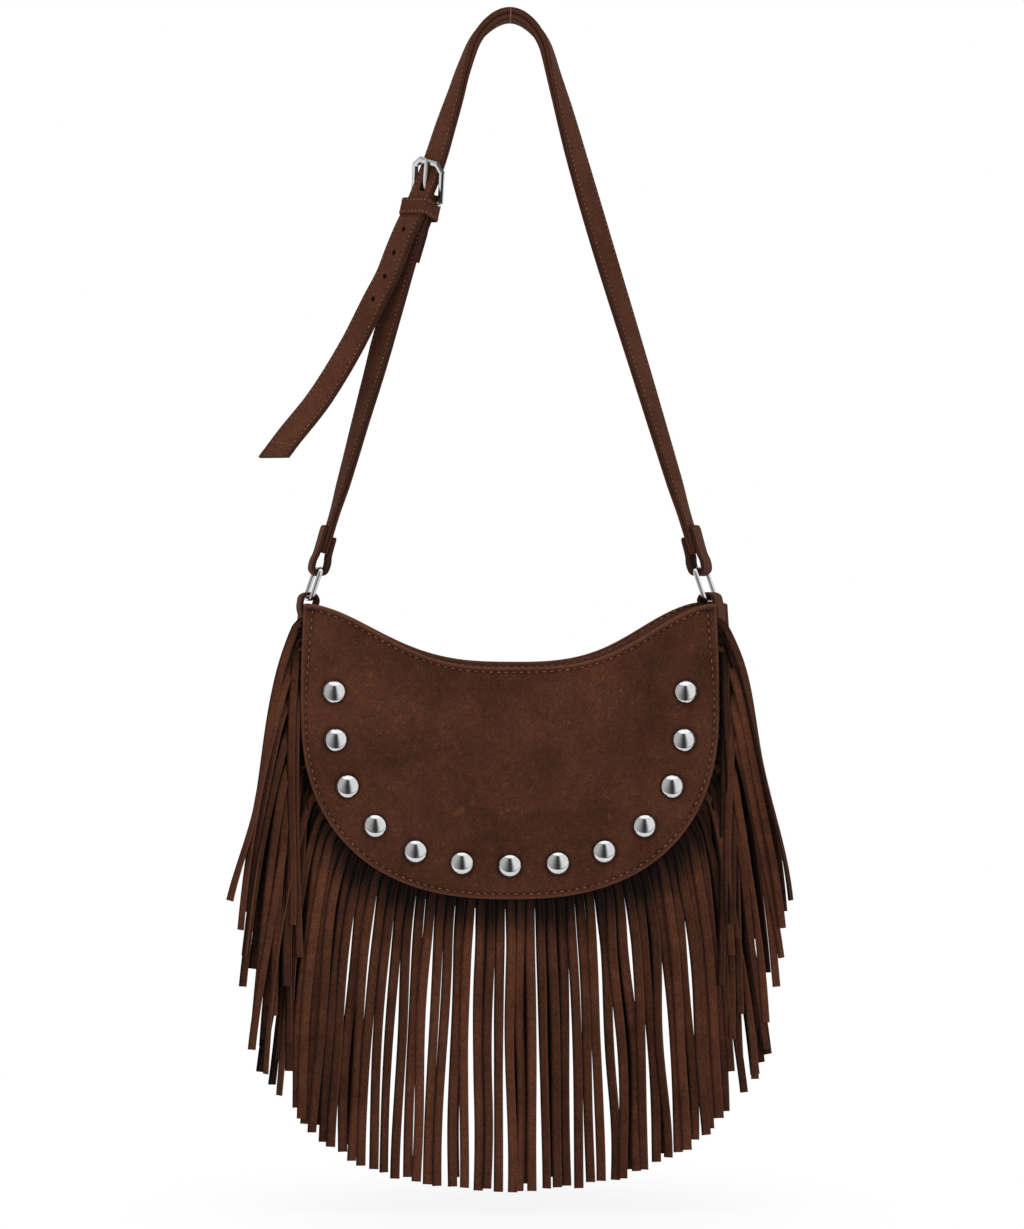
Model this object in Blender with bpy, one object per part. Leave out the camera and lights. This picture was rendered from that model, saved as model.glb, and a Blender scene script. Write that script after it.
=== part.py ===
"""Fringed suede shoulder bag, hanging by its strap.

Metres, +Z up, the front of the bag faces -Y. The origin is the hang point, the
underside of the strap's crown. The bag is two half-moon suede panels joined by
a gusset, with a row of cut strands sewn into the front seam. Folded tabs and
wire rings at its corners carry a two-piece strap that closes with a buckle.
"""

import math

import bmesh
import bpy
import numpy as np
from mathutils import Vector

# Strap and tabs: their widths also set the buckle, the rings and the bag's corners.
STRAP_WIDTH = 0.018
TAB_LIP = 0.001
TAB_WIDTH = STRAP_WIDTH + 2 * TAB_LIP

# Bag body
PANEL_HALF_WIDTH = 0.1455
CORNER_TUCK = 0.002
CORNER_HALF_WIDTH = PANEL_HALF_WIDTH - CORNER_TUCK
PANEL_HEIGHT = 0.204
SIDE_DROP = 0.066
OUTLINE_POWER = 2.45
MOUTH_DIP = 0.0435
MOUTH_POWER = 1.5
BACK_RISE = 0.004
CORNER_Z = -0.408
CORNER_MARGIN = 0.0025
CORNER_HALF_DEPTH = TAB_WIDTH / 2 + CORNER_MARGIN
BOTTOM_HALF_DEPTH = 0.026
DEPTH_REACH = 0.150
PILLOW = 0.007
SPLAY_REACH = 0.085
GAP = 0.0003

# Leather
PANEL_LEATHER = 0.0022
GUSSET_LEATHER = 0.0018
GUSSET_INSET = 0.002
FLANGE = 0.008
GUSSET_END_DROP = 0.0085
FACING_LEATHER = 0.0012
FACING_SHARE = 0.17
LINING_CLOTH = 0.0008
LINING_DROP = 0.024
LINING_EASE = 1.6

# Fringe
STRAND_WIDTH = 0.006
STRAND_PITCH = 0.0068
STRAND_LENGTH = 0.205
STRAND_LEATHER = 0.0012
HEADING = 0.006
FRINGE_TOP = 0.010
SIDE_SHARE = 0.253
SIDE_LAYERS = 5
LAYER_STEP = 0.0016
STRAND_BEND = 0.012
STRAND_DROOP = 0.35
HEADING_LIP = 0.0008
SIDE_END_NEAR = PANEL_HALF_WIDTH + 0.0105
SIDE_END_FAR = PANEL_HALF_WIDTH + 0.0475
BOTTOM_SPREAD = 1.195

# Studs
STUD_COUNT = 13
STUD_RADIUS = 0.008
STUD_HEIGHT = 0.0055
STUD_INSET = 0.0232
STUD_PITCH = 0.0334

# Snap
SNAP_RADIUS = 0.008
SNAP_THICKNESS = 0.0022
SNAP_DROP = 0.014

# Strap
STRAP_THICKNESS = 0.005
CROWN_THICKNESS = 0.0102
CROWN_REACH = 0.075
STRAP_CHAMFER = 0.0009
TIP_REACH = 0.012
TIP_SLANT = 1.2
HOLE_RADIUS = 0.0016
HOLE_PITCH = 0.0185
HOLE_COUNT = 5

# Buckle
FRAME_LENGTH = 0.0315
FRAME_BAR = 0.0045
FRAME_PLAY = 0.00125
FRAME_WIDTH = STRAP_WIDTH + 2 * (FRAME_BAR + FRAME_PLAY)
FRAME_THICKNESS = 0.0032
FRAME_CORNER = 0.0050
HEEL_CORNER = 0.0014
HEEL_RADIUS = 0.0020
HEEL_PLAY = 0.0006
FOLD_LEATHER = 0.0022
FOLD_START = 0.0055
FOLD_TAPER = 0.020
FOLD_LAP = 0.040
PRONG_WIDTH = 0.0032
PRONG_THICKNESS = 0.0016
PRONG_OVERHANG = 0.0028
SLOT_REACH = 0.0220
SLOT_PLAY = 0.0006
CREW_LENGTH = 0.017
CREW_DEPTH = 0.011
CREW_PLAY = 0.0007
CREW_SHIFT = 0.002
KEEPER_WIDTH = 0.012
KEEPER_LEATHER = 0.0016
KEEPER_DROP = 0.0260
KEEPER_SLACK = 0.0012

# Rings and tabs
RING_WIRE = 0.0034
RING_LENGTH = 0.0215
RING_CORNER = 0.0037
RING_PLAY = 0.00035
RING_SPAN = TAB_WIDTH + 2 * (RING_WIRE + RING_PLAY)
STRAP_TAB_LEATHER = 0.0026
BAG_TAB_LEATHER = 0.0022
STRAP_LOOP = 0.0039
BAG_LOOP = 0.0042
OUTER_LEG = 0.0290
INNER_LEG = 0.0225
BAG_LEG = 0.0300
STRAP_END_LIFT = 0.0120

# Where the hardware hangs: the middle of each ring's lower bar (x, y, z), how far
# the ring leans inward and how far it turns about the upright, both in degrees.
RING_LOW = {
    "left": (0.0023 - CORNER_HALF_WIDTH, 0.0, -0.4036),
    "right": (CORNER_HALF_WIDTH - 0.0035, 0.0, -0.4035),
}
RING_LEAN = {"left": 19.4, "right": 20.6}
RING_TURN = {"left": 12.0, "right": 20.0}
SIDES = {"left": -1.0, "right": 1.0}

# The strap's routes: x, z, y, and how far the outer face turns to the front. They
# are drawn for a bag whose corners stand ROUTE_HALF_WIDTH from the middle.
ROUTE_HALF_WIDTH = 0.1435
ROUTE_FALL = 0.3346
ROUTE_STEP = 0.001
LONG_PLAN = (
    (0.1190, -0.3346, 0.0025, 27.0),
    (0.0913, -0.2436, 0.0012, 40.0),
    (0.0634, -0.1526, 0.0, 50.0),
    (0.0469, -0.0959, 0.0, 45.0),
    (0.0346, -0.0511, 0.0, 30.0),
    (0.0262, -0.0245, 0.0, 14.0),
    (0.0165, -0.0065, 0.0, 4.0),
    (0.0000, 0.0052, 0.0, -2.0),
    (-0.0176, -0.0064, 0.0, 4.0),
    (-0.0252, -0.0180, 0.0, 10.0),
    (-0.0322, -0.0325, 0.0, 18.0),
    (-0.0385, -0.0525, 0.0, 27.0),
    (-0.0448, -0.0721, 0.0, 33.0),
    (-0.0520, -0.0952, 0.0, 37.0),
    (-0.0585, -0.1125, 0.0, 38.0),
    (-0.0658, -0.1302, 0.0, 40.0),
    (-0.0730, -0.1455, -0.0018, 45.0),
    (-0.0790, -0.1603, -0.0040, 50.0),
    (-0.0856, -0.1778, -0.0060, 54.0),
    (-0.0952, -0.1967, -0.0080, 58.0),
    (-0.1108, -0.2282, -0.0110, 62.0),
    (-0.1330, -0.2646, -0.0130, 66.0),
    (-0.1540, -0.2912, -0.0140, 69.0),
    (-0.1645, -0.3052, -0.0140, 70.0),
)
SHORT_PLAN = (
    (-0.0732, -0.1656, 0.0035, 41.0),
    (-0.0795, -0.1890, 0.0005, 43.0),
    (-0.0903, -0.2282, 0.0, 45.0),
    (-0.0948, -0.2450, 0.0, 42.0),
    (-0.1043, -0.2786, 0.0008, 32.0),
    (-0.1159, -0.3206, 0.0015, 22.0),
)
BUCKLE_POINT = 14

SUEDE = (0.072, 0.026, 0.014)
SUEDE_LIGHT = (0.105, 0.040, 0.022)
LINING = (0.055, 0.030, 0.020)
STEEL = (0.72, 0.72, 0.74)


def clear_scene():
    for obj in list(bpy.data.objects):
        bpy.data.objects.remove(obj, do_unlink=True)


def material(name, colour, roughness, metallic=0.0):
    mat = bpy.data.materials.new(name)
    mat.use_nodes = True
    shader = mat.node_tree.nodes["Principled BSDF"]
    shader.inputs["Base Color"].default_value = (*colour, 1.0)
    shader.inputs["Roughness"].default_value = roughness
    shader.inputs["Metallic"].default_value = metallic
    return mat


def mesh_object(name, verts, faces, mat, smooth=False, location=None):
    """A mesh object whose origin is at location, with its points given in world metres."""
    mesh = bpy.data.meshes.new(name)
    origin = np.zeros(3) if location is None else np.asarray(location)
    points = np.asarray(verts, float) - origin
    mesh.from_pydata([tuple(p) for p in points], [], [tuple(f) for f in faces])
    bm = bmesh.new()
    bm.from_mesh(mesh)
    bmesh.ops.recalc_face_normals(bm, faces=bm.faces)
    bm.to_mesh(mesh)
    bm.free()
    obj = bpy.data.objects.new(name, mesh)
    obj.location = Vector(origin)
    bpy.context.scene.collection.objects.link(obj)
    mesh.materials.append(mat)
    if smooth:
        mesh.shade_smooth()
        mesh.set_sharp_from_angle(angle=math.radians(38))
    return obj


def unit(v):
    v = np.asarray(v, float)
    return v / np.linalg.norm(v, axis=-1, keepdims=True)


def smoothstep(x):
    x = np.clip(x, 0.0, 1.0)
    return x * x * (3.0 - 2.0 * x)


def opened(plan):
    """A strap's route with its lower parts moved out as far as the bag's corners are."""
    shift = CORNER_HALF_WIDTH - ROUTE_HALF_WIDTH
    return tuple(
        (x + math.copysign(shift, x) * min(1.0, max(0.0, -z / ROUTE_FALL)), z, y, turn)
        for x, z, y, turn in plan
    )


LONG_ROUTE = opened(LONG_PLAN)
SHORT_ROUTE = opened(SHORT_PLAN)


def resample(points, count):
    """The polyline's points again, evenly spaced along its length."""
    points = np.asarray(points, float)
    along = np.concatenate([[0.0], np.cumsum(np.linalg.norm(np.diff(points, axis=0), axis=1))])
    at = np.linspace(0.0, along[-1], count)
    return np.stack([np.interp(at, along, points[:, k]) for k in range(points.shape[1])], axis=1)


def curve_through(points, count):
    """A smooth curve through the given points (centripetal Catmull-Rom), evenly spaced."""
    p = np.asarray(points, float)
    p = np.vstack([2 * p[0] - p[1], p, 2 * p[-1] - p[-2]])
    fine = []
    for a, b, c, d in zip(p[:-3], p[1:-2], p[2:-1], p[3:]):
        knots = [0.0]
        for q, r in ((a, b), (b, c), (c, d)):
            knots.append(knots[-1] + max(np.linalg.norm(r[:3] - q[:3]), 1e-9) ** 0.5)
        k0, k1, k2, k3 = knots
        t = np.linspace(k1, k2, 16, endpoint=False)[:, None]
        ab = (k1 - t) / (k1 - k0) * a + (t - k0) / (k1 - k0) * b
        bc = (k2 - t) / (k2 - k1) * b + (t - k1) / (k2 - k1) * c
        cd = (k3 - t) / (k3 - k2) * c + (t - k2) / (k3 - k2) * d
        abc = (k2 - t) / (k2 - k0) * ab + (t - k0) / (k2 - k0) * bc
        bcd = (k3 - t) / (k3 - k1) * bc + (t - k1) / (k3 - k1) * cd
        fine.append((k2 - t) / (k2 - k1) * abc + (t - k1) / (k2 - k1) * bcd)
    fine.append(p[-2][None, :])
    return resample(np.vstack(fine), count)


def loft(name, sections, mat, closed=False, smooth=False, location=None):
    """A closed solid through sections with the same number of points each."""
    sections = np.asarray(sections, float)
    rows, around = sections.shape[:2]
    verts = sections.reshape(-1, 3)
    faces = []
    for i in range(rows if closed else rows - 1):
        j = (i + 1) % rows
        for k in range(around):
            m = (k + 1) % around
            faces.append((i * around + k, i * around + m, j * around + m, j * around + k))
    if not closed:
        faces.append(tuple(range(around)))
        faces.append(tuple((rows - 1) * around + k for k in reversed(range(around))))
    return mesh_object(name, verts, faces, mat, smooth, location=location)


def bar_section(width, thickness, chamfer):
    """A rectangle with cut corners, as (across, outward) pairs."""
    w, t = width / 2, thickness / 2
    c = min(chamfer, 0.45 * thickness)
    return np.array([
        (-w + c, -t), (w - c, -t), (w, -t + c), (w, t - c),
        (w - c, t), (-w + c, t), (-w, t - c), (-w, -t + c),
    ])


def ribbon_sections(centre, outward, width, thickness, chamfer):
    """Sections of a flat strip that runs along centre, with its face toward outward."""
    tangent = unit(np.gradient(centre, axis=0))
    outward = unit(outward - (outward * tangent).sum(1, keepdims=True) * tangent)
    across = np.cross(tangent, outward)
    thickness = np.broadcast_to(thickness, len(centre))
    rings = []
    for c, a, n, t in zip(centre, across, outward, thickness):
        section = bar_section(width, t, chamfer)
        rings.append(c + section[:, :1] * a + section[:, 1:] * n)
    return np.array(rings)


def sheet_object(name, verts, quads, thickness, mat, smooth=True):
    """A sheet given by its middle surface, made solid to its leather's thickness."""
    obj = mesh_object(name, verts, quads, mat, smooth)
    solid = obj.modifiers.new("leather", "SOLIDIFY")
    solid.thickness = thickness
    solid.offset = 0.0
    solid.use_rim = True
    return obj


def cut(obj, tool):
    """Takes the tool's solid out of obj; the tool itself stays hidden."""
    tool.hide_render = True
    tool.display_type = "WIRE"
    mod = obj.modifiers.new("cut", "BOOLEAN")
    mod.operation = "DIFFERENCE"
    mod.solver = "EXACT"
    mod.object = tool


def box_on(origin, axes, sizes):
    """The eight corners and six faces of a box centred at origin along three axes."""
    corners = [(i, j, k) for i in (-1, 1) for j in (-1, 1) for k in (-1, 1)]
    verts = [
        origin + sum(0.5 * s * size * axis for s, size, axis in zip(c, sizes, axes))
        for c in corners
    ]
    faces = [(0, 1, 3, 2), (4, 6, 7, 5), (0, 4, 5, 1), (2, 3, 7, 6), (0, 2, 6, 4), (1, 5, 7, 3)]
    return verts, faces


# The bag's outline, as the panels are cut

def outline_curve():
    """The half-moon edge from the left corner round the bottom to the right corner."""
    base = PANEL_HEIGHT - SIDE_DROP
    drop = np.linspace(0.0, SIDE_DROP, 24, endpoint=False)
    swell = np.sin(0.5 * math.pi * drop / SIDE_DROP)
    side = np.stack([
        -(CORNER_HALF_WIDTH + (PANEL_HALF_WIDTH - CORNER_HALF_WIDTH) * swell),
        CORNER_Z - drop,
    ], axis=1)
    angle = np.linspace(0.0, math.pi / 2, 240)
    root = 2.0 / OUTLINE_POWER
    quarter = np.stack([
        -PANEL_HALF_WIDTH * np.cos(angle).clip(0) ** root,
        CORNER_Z - SIDE_DROP - base * np.sin(angle) ** root,
    ], axis=1)
    left = np.vstack([side, quarter])
    right = left[::-1][1:] * (-1.0, 1.0)
    return resample(np.vstack([left, right]), 1201)


OUTLINE = outline_curve()
OUTLINE_LENGTH = float(np.linalg.norm(np.diff(OUTLINE, axis=0), axis=1).sum())


def outline_normals():
    tangent = unit(np.gradient(OUTLINE, axis=0))
    return np.stack([tangent[:, 1], -tangent[:, 0]], axis=1)


NORMALS = outline_normals()


def edge(s, offset=0.0):
    """Points of the outline at shares s of its length, moved outward by offset: (x, z)."""
    at = np.linspace(0.0, 1.0, len(OUTLINE))
    p = np.stack([np.interp(s, at, OUTLINE[:, k]) for k in range(2)], axis=-1)
    return p + offset * edge_normal(s)


def edge_normal(s):
    at = np.linspace(0.0, 1.0, len(NORMALS))
    return unit(np.stack([np.interp(s, at, NORMALS[:, k]) for k in range(2)], axis=-1))


def half_depth(z):
    """Half the bag's depth, from its narrow corners to its full bottom."""
    return CORNER_HALF_DEPTH + (BOTTOM_HALF_DEPTH - CORNER_HALF_DEPTH) * smoothstep(
        (CORNER_Z - z) / DEPTH_REACH
    )


def splayed(x, y, z):
    """x with the rear corners drawn outward, as far as the turned rings pull them."""
    turn = np.where(x < 0, RING_TURN["left"], RING_TURN["right"])
    pull = np.tan(np.radians(turn)) * np.clip(y + half_depth(z), 0.0, None)
    fade = 1.0 - smoothstep((CORNER_Z - BAG_LEG - z) / SPLAY_REACH)
    side = smoothstep(np.abs(x) / CORNER_HALF_WIDTH * 1.1 - 0.04)
    return x + np.sign(x) * pull * fade * side


def mouth_shape(x, half_width):
    """How far the mouth dips at x: 0 at the corners, 1 in the middle."""
    share = np.clip(np.abs(x) / half_width, 0.0, 1.0)
    return np.cos(0.5 * math.pi * share**MOUTH_POWER) ** 2


def patch(columns, rows, offset, top_drop, dip):
    """A half-moon as a grid of (x, z), blended between its four edges (a Coons patch)."""
    start = top_drop / OUTLINE_LENGTH
    low = 0.33
    u = np.linspace(0.0, 1.0, columns)
    v = np.linspace(0.0, 1.0, rows)
    left = edge(start + (low - start) * v, offset)
    right = left * (-1.0, 1.0)
    bottom = edge(low + (1.0 - 2 * low) * u, offset)
    half = right[0, 0]
    top_x = -half + 2 * half * u
    top = np.stack([top_x, left[0, 1] - dip * mouth_shape(top_x, half)], axis=1)
    U, V = u[None, :, None], v[:, None, None]
    grid = (1 - V) * top[None] + V * bottom[None] + (1 - U) * left[:, None] + U * right[:, None]
    grid -= (
        (1 - V) * ((1 - U) * top[0] + U * top[-1])
        + V * ((1 - U) * bottom[0] + U * bottom[-1])
    )
    bulge = np.sin(math.pi * u)[None, :] * np.cos(0.5 * math.pi * v)[:, None] ** 0.8
    return grid, bulge


def quads(rows, columns, first=0):
    faces = []
    for i in range(rows - 1):
        for j in range(columns - 1):
            a = first + i * columns + j
            faces.append((a, a + 1, a + columns + 1, a + columns))
    return faces


FRONT_STACK = 2 * GAP + STRAND_LEATHER
FRONT_MID = FRONT_STACK + PANEL_LEATHER / 2
BACK_MID = GAP + PANEL_LEATHER / 2


def panel_points(grid, bulge, side, offset):
    """The grid set at the panel's depth: side is -1 for the front and 1 for the back."""
    x, z = grid[..., 0], grid[..., 1]
    y = side * (half_depth(z) + offset + PILLOW * bulge)
    return np.stack([splayed(x, y, z), y, z], axis=-1)


def make_panels(mats):
    columns, rows = 20, 11
    for name, side, offset, dip in (
        ("front_panel", -1, FRONT_MID, MOUTH_DIP),
        ("back_panel", 1, BACK_MID, MOUTH_DIP - BACK_RISE),
    ):
        grid, bulge = patch(columns, rows, 0.0, 0.0, dip)
        points = panel_points(grid, bulge, side, offset)
        sheet_object(name, points.reshape(-1, 3), quads(rows, columns), PANEL_LEATHER, mats["suede"])


def make_facings(mats):
    """The strips of smoother leather that line the mouth inside each panel."""
    columns, rows = 19, 4
    inner = PANEL_LEATHER / 2 + GAP + FACING_LEATHER / 2
    for name, side, offset, dip in (
        ("front_facing", -1, FRONT_MID - inner, MOUTH_DIP),
        ("back_facing", 1, BACK_MID - inner, MOUTH_DIP - BACK_RISE),
    ):
        fine, bulge = patch(121, 101, 0.0, 0.0, dip)
        u = np.linspace(0.105, 0.895, columns)
        v = np.linspace(0.015, FACING_SHARE, rows)
        i = np.rint(v * 100).astype(int)[:, None]
        j = np.rint(u * 120).astype(int)[None, :]
        points = panel_points(fine[i, j], bulge[i, j], side, offset)
        sheet_object(name, points.reshape(-1, 3), quads(rows, columns), FACING_LEATHER, mats["facing"])


def make_gusset(mats):
    """The band between the panels: a channel whose two flanges are sewn to them."""
    start = GUSSET_END_DROP / OUTLINE_LENGTH
    s = np.linspace(start, 1.0 - start, 41)
    outer, inner = -GUSSET_INSET, -GUSSET_INSET - GUSSET_LEATHER
    deep = -GUSSET_INSET - FLANGE
    shape = (
        (outer, -1, 0), (deep, -1, 0), (deep, -1, 1), (inner, -1, 1),
        (inner, 1, 1), (deep, 1, 1), (deep, 1, 0), (outer, 1, 0),
    )
    base = edge(s)
    normal = edge_normal(s)
    rings = []
    for p, n in zip(base, normal):
        ring = []
        for offset, side, inside in shape:
            x, z = p + offset * n
            y = side * (half_depth(p[1]) - inside * GUSSET_LEATHER)
            ring.append((float(splayed(x, y, z)), y, z))
        rings.append(ring)
    loft("gusset", rings, mats["suede"])


LINING_IN = GUSSET_INSET + GUSSET_LEATHER + GAP + BAG_TAB_LEATHER + 2 * GAP + LINING_CLOTH / 2
LINING_BACK = GUSSET_LEATHER + GAP + LINING_CLOTH


def make_lining(mats):
    """The cloth pouch inside: front, side strip and back in one open bag."""
    columns, rows = 14, 9
    grid, bulge = patch(columns, rows, -LINING_IN, LINING_DROP, MOUTH_DIP)
    x, z = grid[..., 0], grid[..., 1]
    y = half_depth(z) - LINING_BACK + PILLOW * bulge**LINING_EASE
    front = np.stack([splayed(x, -y, z), -y, z], axis=-1)
    back = np.stack([splayed(x, y, z), y, z], axis=-1)
    rim = [i * columns for i in range(rows)]
    rim += [(rows - 1) * columns + j for j in range(1, columns)]
    rim += [i * columns + columns - 1 for i in reversed(range(rows - 1))]
    flat_front, flat_back = front.reshape(-1, 3), back.reshape(-1, 3)
    steps = 4
    verts = [*flat_front, *flat_back]
    faces = quads(rows, columns)
    faces += [f[::-1] for f in quads(rows, columns, rows * columns)]
    lines = [rim]
    for k in range(1, steps):
        share = k / steps
        lines.append(list(range(len(verts), len(verts) + len(rim))))
        verts += [(1 - share) * flat_front[i] + share * flat_back[i] for i in rim]
    lines.append([i + rows * columns for i in rim])
    for a, b in zip(lines[:-1], lines[1:]):
        for k in range(len(rim) - 1):
            faces.append((a[k], a[k + 1], b[k + 1], b[k]))
    sheet_object("lining", verts, faces, LINING_CLOTH, mats["lining"])


def strand_path(root, direction, end_x, segments):
    """A strand's middle line: straight out of the seam at first, then falling to end_x."""
    # The four points of a Bezier curve; the last two leave room for the full length.
    p0 = root + STRAND_BEND * direction
    p1 = p0 + direction * (0.004 + 0.30 * abs(end_x - p0[0]))
    p2 = np.array([p0[0] + 0.80 * (end_x - p0[0]), root[1] - 0.45 * STRAND_LENGTH])
    p3 = np.array([end_x, root[1] - 1.02 * STRAND_LENGTH])
    t = np.linspace(0.0, 1.0, 80)[:, None]
    line = (1 - t) ** 3 * p0 + 3 * (1 - t) ** 2 * t * p1 + 3 * (1 - t) * t**2 * p2 + t**3 * p3
    along = np.concatenate([[0.0], np.cumsum(np.linalg.norm(np.diff(line, axis=0), axis=1))])
    at = np.linspace(0.0, STRAND_LENGTH - STRAND_BEND, segments)
    fall = np.stack([np.interp(at, along, line[:, k]) for k in range(2)], axis=1)
    return np.vstack([root, fall])


def comb(name, shares, end_x, layer, mat, segments):
    """A heading band sewn in the front seam, and the strands that hang from it."""
    half_share = 0.5 * STRAND_WIDTH / OUTLINE_LENGTH
    seam_y = GAP + STRAND_LEATHER / 2
    sides = np.stack([shares - half_share, shares + half_share], axis=1).reshape(-1)
    inner, outer = edge(sides, -HEADING), edge(sides, HEADING_LIP)

    def at_seam(p):
        depth = -(half_depth(p[..., 1]) + seam_y)
        return np.stack([p[..., 0], depth, p[..., 1]], axis=-1)

    verts = [*at_seam(inner), *at_seam(outer)]
    count = len(sides)
    faces = [(k, k + 1, count + k + 1, count + k) for k in range(count - 1)]
    for i, s in enumerate(shares):
        root = edge(s, HEADING_LIP)
        droop = STRAND_DROOP * abs(edge_normal(s)[0])
        direction = unit(edge_normal(s) - np.array([0.0, droop]))
        line = strand_path(root, direction, end_x[i], segments)
        tangent = unit(np.gradient(line, axis=0))
        across = np.stack([-tangent[:, 1], tangent[:, 0]], axis=1)
        y = -(half_depth(line[:, 1]) + seam_y) - layer[i] * LAYER_STEP
        a, b = count + 2 * i, count + 2 * i + 1
        for k in range(1, len(line)):
            first = len(verts)
            for sign in (-1, 1):
                x, z = line[k] + sign * 0.5 * STRAND_WIDTH * across[k]
                verts.append((x, y[k], z))
            faces.append((a, b, first + 1, first))
            a, b = first, first + 1
    sheet_object(name, verts, faces, STRAND_LEATHER, mat, smooth=False)


def make_fringe(mats):
    """Three combs: the strands under the bag, and those that fall in layers at each side."""
    pitch = STRAND_PITCH / OUTLINE_LENGTH
    bottom_count = int((1.0 - 2 * SIDE_SHARE) / pitch)
    first = 0.5 - 0.5 * (bottom_count - 1) * pitch
    shares = first + pitch * np.arange(bottom_count)
    ends = edge(shares)[:, 0] * BOTTOM_SPREAD
    comb("fringe_bottom", shares, ends, np.arange(bottom_count) % 2, mats["suede"], 4)
    top = FRINGE_TOP / OUTLINE_LENGTH
    count = int((first - 1.2 * pitch - top) / pitch) + 1
    up = first - 1.2 * pitch - pitch * np.arange(count)
    out = SIDE_END_NEAR + (SIDE_END_FAR - SIDE_END_NEAR) * np.arange(count) / (count - 1)
    layer = np.arange(1, count + 1) % SIDE_LAYERS
    comb("fringe_left", up[::-1], -out[::-1], layer[::-1], mats["suede"], 6)
    comb("fringe_right", 1.0 - up, out, layer, mats["suede"], 6)


def make_studs(mats):
    """Domed studs in a row that follows the panel's edge, clamped through the suede."""
    profile = [(0.97, 0.0), (1.0, 0.12), (0.88, 0.52), (0.52, 0.88)]
    around = 14
    fine, bulge = patch(181, 121, 0.0, 0.0, MOUTH_DIP)
    surface = panel_points(fine, bulge, -1, FRONT_STACK + PANEL_LEATHER + GAP)
    flat = surface.reshape(-1, 3)
    row = edge(np.linspace(0.0, 1.0, 1201), -STUD_INSET)
    reach = np.linalg.norm(np.diff(row, axis=0), axis=1).sum() / 2
    row = resample(row, 1201)
    for k in range(STUD_COUNT):
        share = (k - (STUD_COUNT - 1) / 2) * STUD_PITCH / reach
        x, z = row[int(round(600 * (1.0 + share)))]
        near = flat[np.argsort((flat[:, 0] - x) ** 2 + (flat[:, 2] - z) ** 2)[:3]]
        y = near[:, 1].min() - 0.0002
        axis = unit(np.array([0.0, -1.0, panel_slope(z)]))
        side = unit(np.cross(axis, (0.0, 0.0, 1.0)))
        up = np.cross(side, axis)
        centre = np.array([x, y, z])
        angle = 2 * math.pi * np.arange(around) / around
        verts, faces = [], []
        for radius, height in profile:
            for a in angle:
                spread = STUD_RADIUS * radius * (math.cos(a) * side + math.sin(a) * up)
                verts.append(centre + spread + STUD_HEIGHT * height * axis)
        verts.append(centre + STUD_HEIGHT * axis)
        for r in range(len(profile) - 1):
            for a in range(around):
                b = (a + 1) % around
                faces.append((r * around + a, r * around + b, (r + 1) * around + b, (r + 1) * around + a))
        last = (len(profile) - 1) * around
        faces += [(last + a, last + (a + 1) % around, len(verts) - 1) for a in range(around)]
        faces.append(tuple(reversed(range(around))))
        mesh_object(f"stud_{k + 1:02d}", verts, faces, mats["steel"], smooth=True)


def panel_slope(z):
    """How much the front panel's depth grows for each metre down at height z."""
    step = 0.004
    depth = half_depth(np.array([z - step, z + step]))
    return (depth[0] - depth[1]) / (2 * step)


def make_snap(mats):
    """The hidden magnetic snap that closes the mouth, one disc on each facing."""
    for name, side, offset, dip in (
        ("snap_stud", -1, FRONT_MID, MOUTH_DIP),
        ("snap_socket", 1, BACK_MID, MOUTH_DIP - BACK_RISE),
    ):
        z = CORNER_Z - MOUTH_DIP - SNAP_DROP
        fine, bulge = patch(121, 101, 0.0, 0.0, dip)
        surface = panel_points(fine, bulge, side, offset)
        column = surface[:, 60]
        facing = PANEL_LEATHER / 2 + GAP + FACING_LEATHER
        reach = np.abs(column[:, 2] - z) < 1.1 * SNAP_RADIUS
        y = side * (np.abs(column[reach, 1]).min() - facing - GAP)
        rings = []
        for radius, depth in ((1.0, 0.0), (1.0, 0.7), (0.9, 1.0), (0.45, 1.0), (0.40, 0.75)):
            angle = 2 * math.pi * np.arange(20) / 20
            rings.append(np.stack([
                SNAP_RADIUS * radius * np.cos(angle),
                np.full(20, y - side * depth * SNAP_THICKNESS),
                z + SNAP_RADIUS * radius * np.sin(angle),
            ], axis=1))
        loft(name, rings, mats["steel"])


def route_frames(route, count):
    """Points along a strap's route, its outward face direction and its tangent."""
    table = np.array(route)
    fine = curve_through(table[:, [0, 2, 1, 3]] * (1, 1, 1, ROUTE_STEP), count)
    centre = fine[:, :3]
    tangent = unit(np.gradient(centre, axis=0))
    turn = np.radians(fine[:, 3] / ROUTE_STEP)
    flat = unit(np.stack([tangent[:, 2], np.zeros(count), -tangent[:, 0]], axis=1))
    outward = np.cos(turn)[:, None] * flat
    outward[:, 1] -= np.sin(turn)
    outward = unit(outward - (outward * tangent).sum(1, keepdims=True) * tangent)
    return centre, outward, tangent


def ring_axes(side):
    """A ring's place: its upper bar's middle, down its length, and along its bars."""
    turn, lean = math.radians(RING_TURN[side]), math.radians(RING_LEAN[side])
    sign = SIDES[side]
    across = np.array([sign * math.sin(turn), math.cos(turn), 0.0])
    down = np.array([sign * math.sin(lean), 0.0, -math.cos(lean)])
    down = unit(down - (down @ across) * across)
    return np.array(RING_LOW[side]) - RING_LENGTH * down, down, across


def tab_axes(side):
    """A corner's directions: up the strap, across the tab, and out of its face."""
    sign = SIDES[side]
    bar, _, across = ring_axes(side)
    route = LONG_ROUTE[0] if side == "right" else SHORT_ROUTE[-1]
    up = unit(np.array([route[0], route[2], route[1]]) - bar)
    up = unit(up - (up @ across) * across)
    out = unit(np.cross(across, up)) * sign
    return bar, up, across, out


def strap_end(side):
    """Where a strap ends between the legs of its tab, as a route point."""
    bar, up, _, _ = tab_axes(side)
    x, y, z = bar + STRAP_END_LIFT * up
    return (x, z, y, RING_TURN[side])


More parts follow.
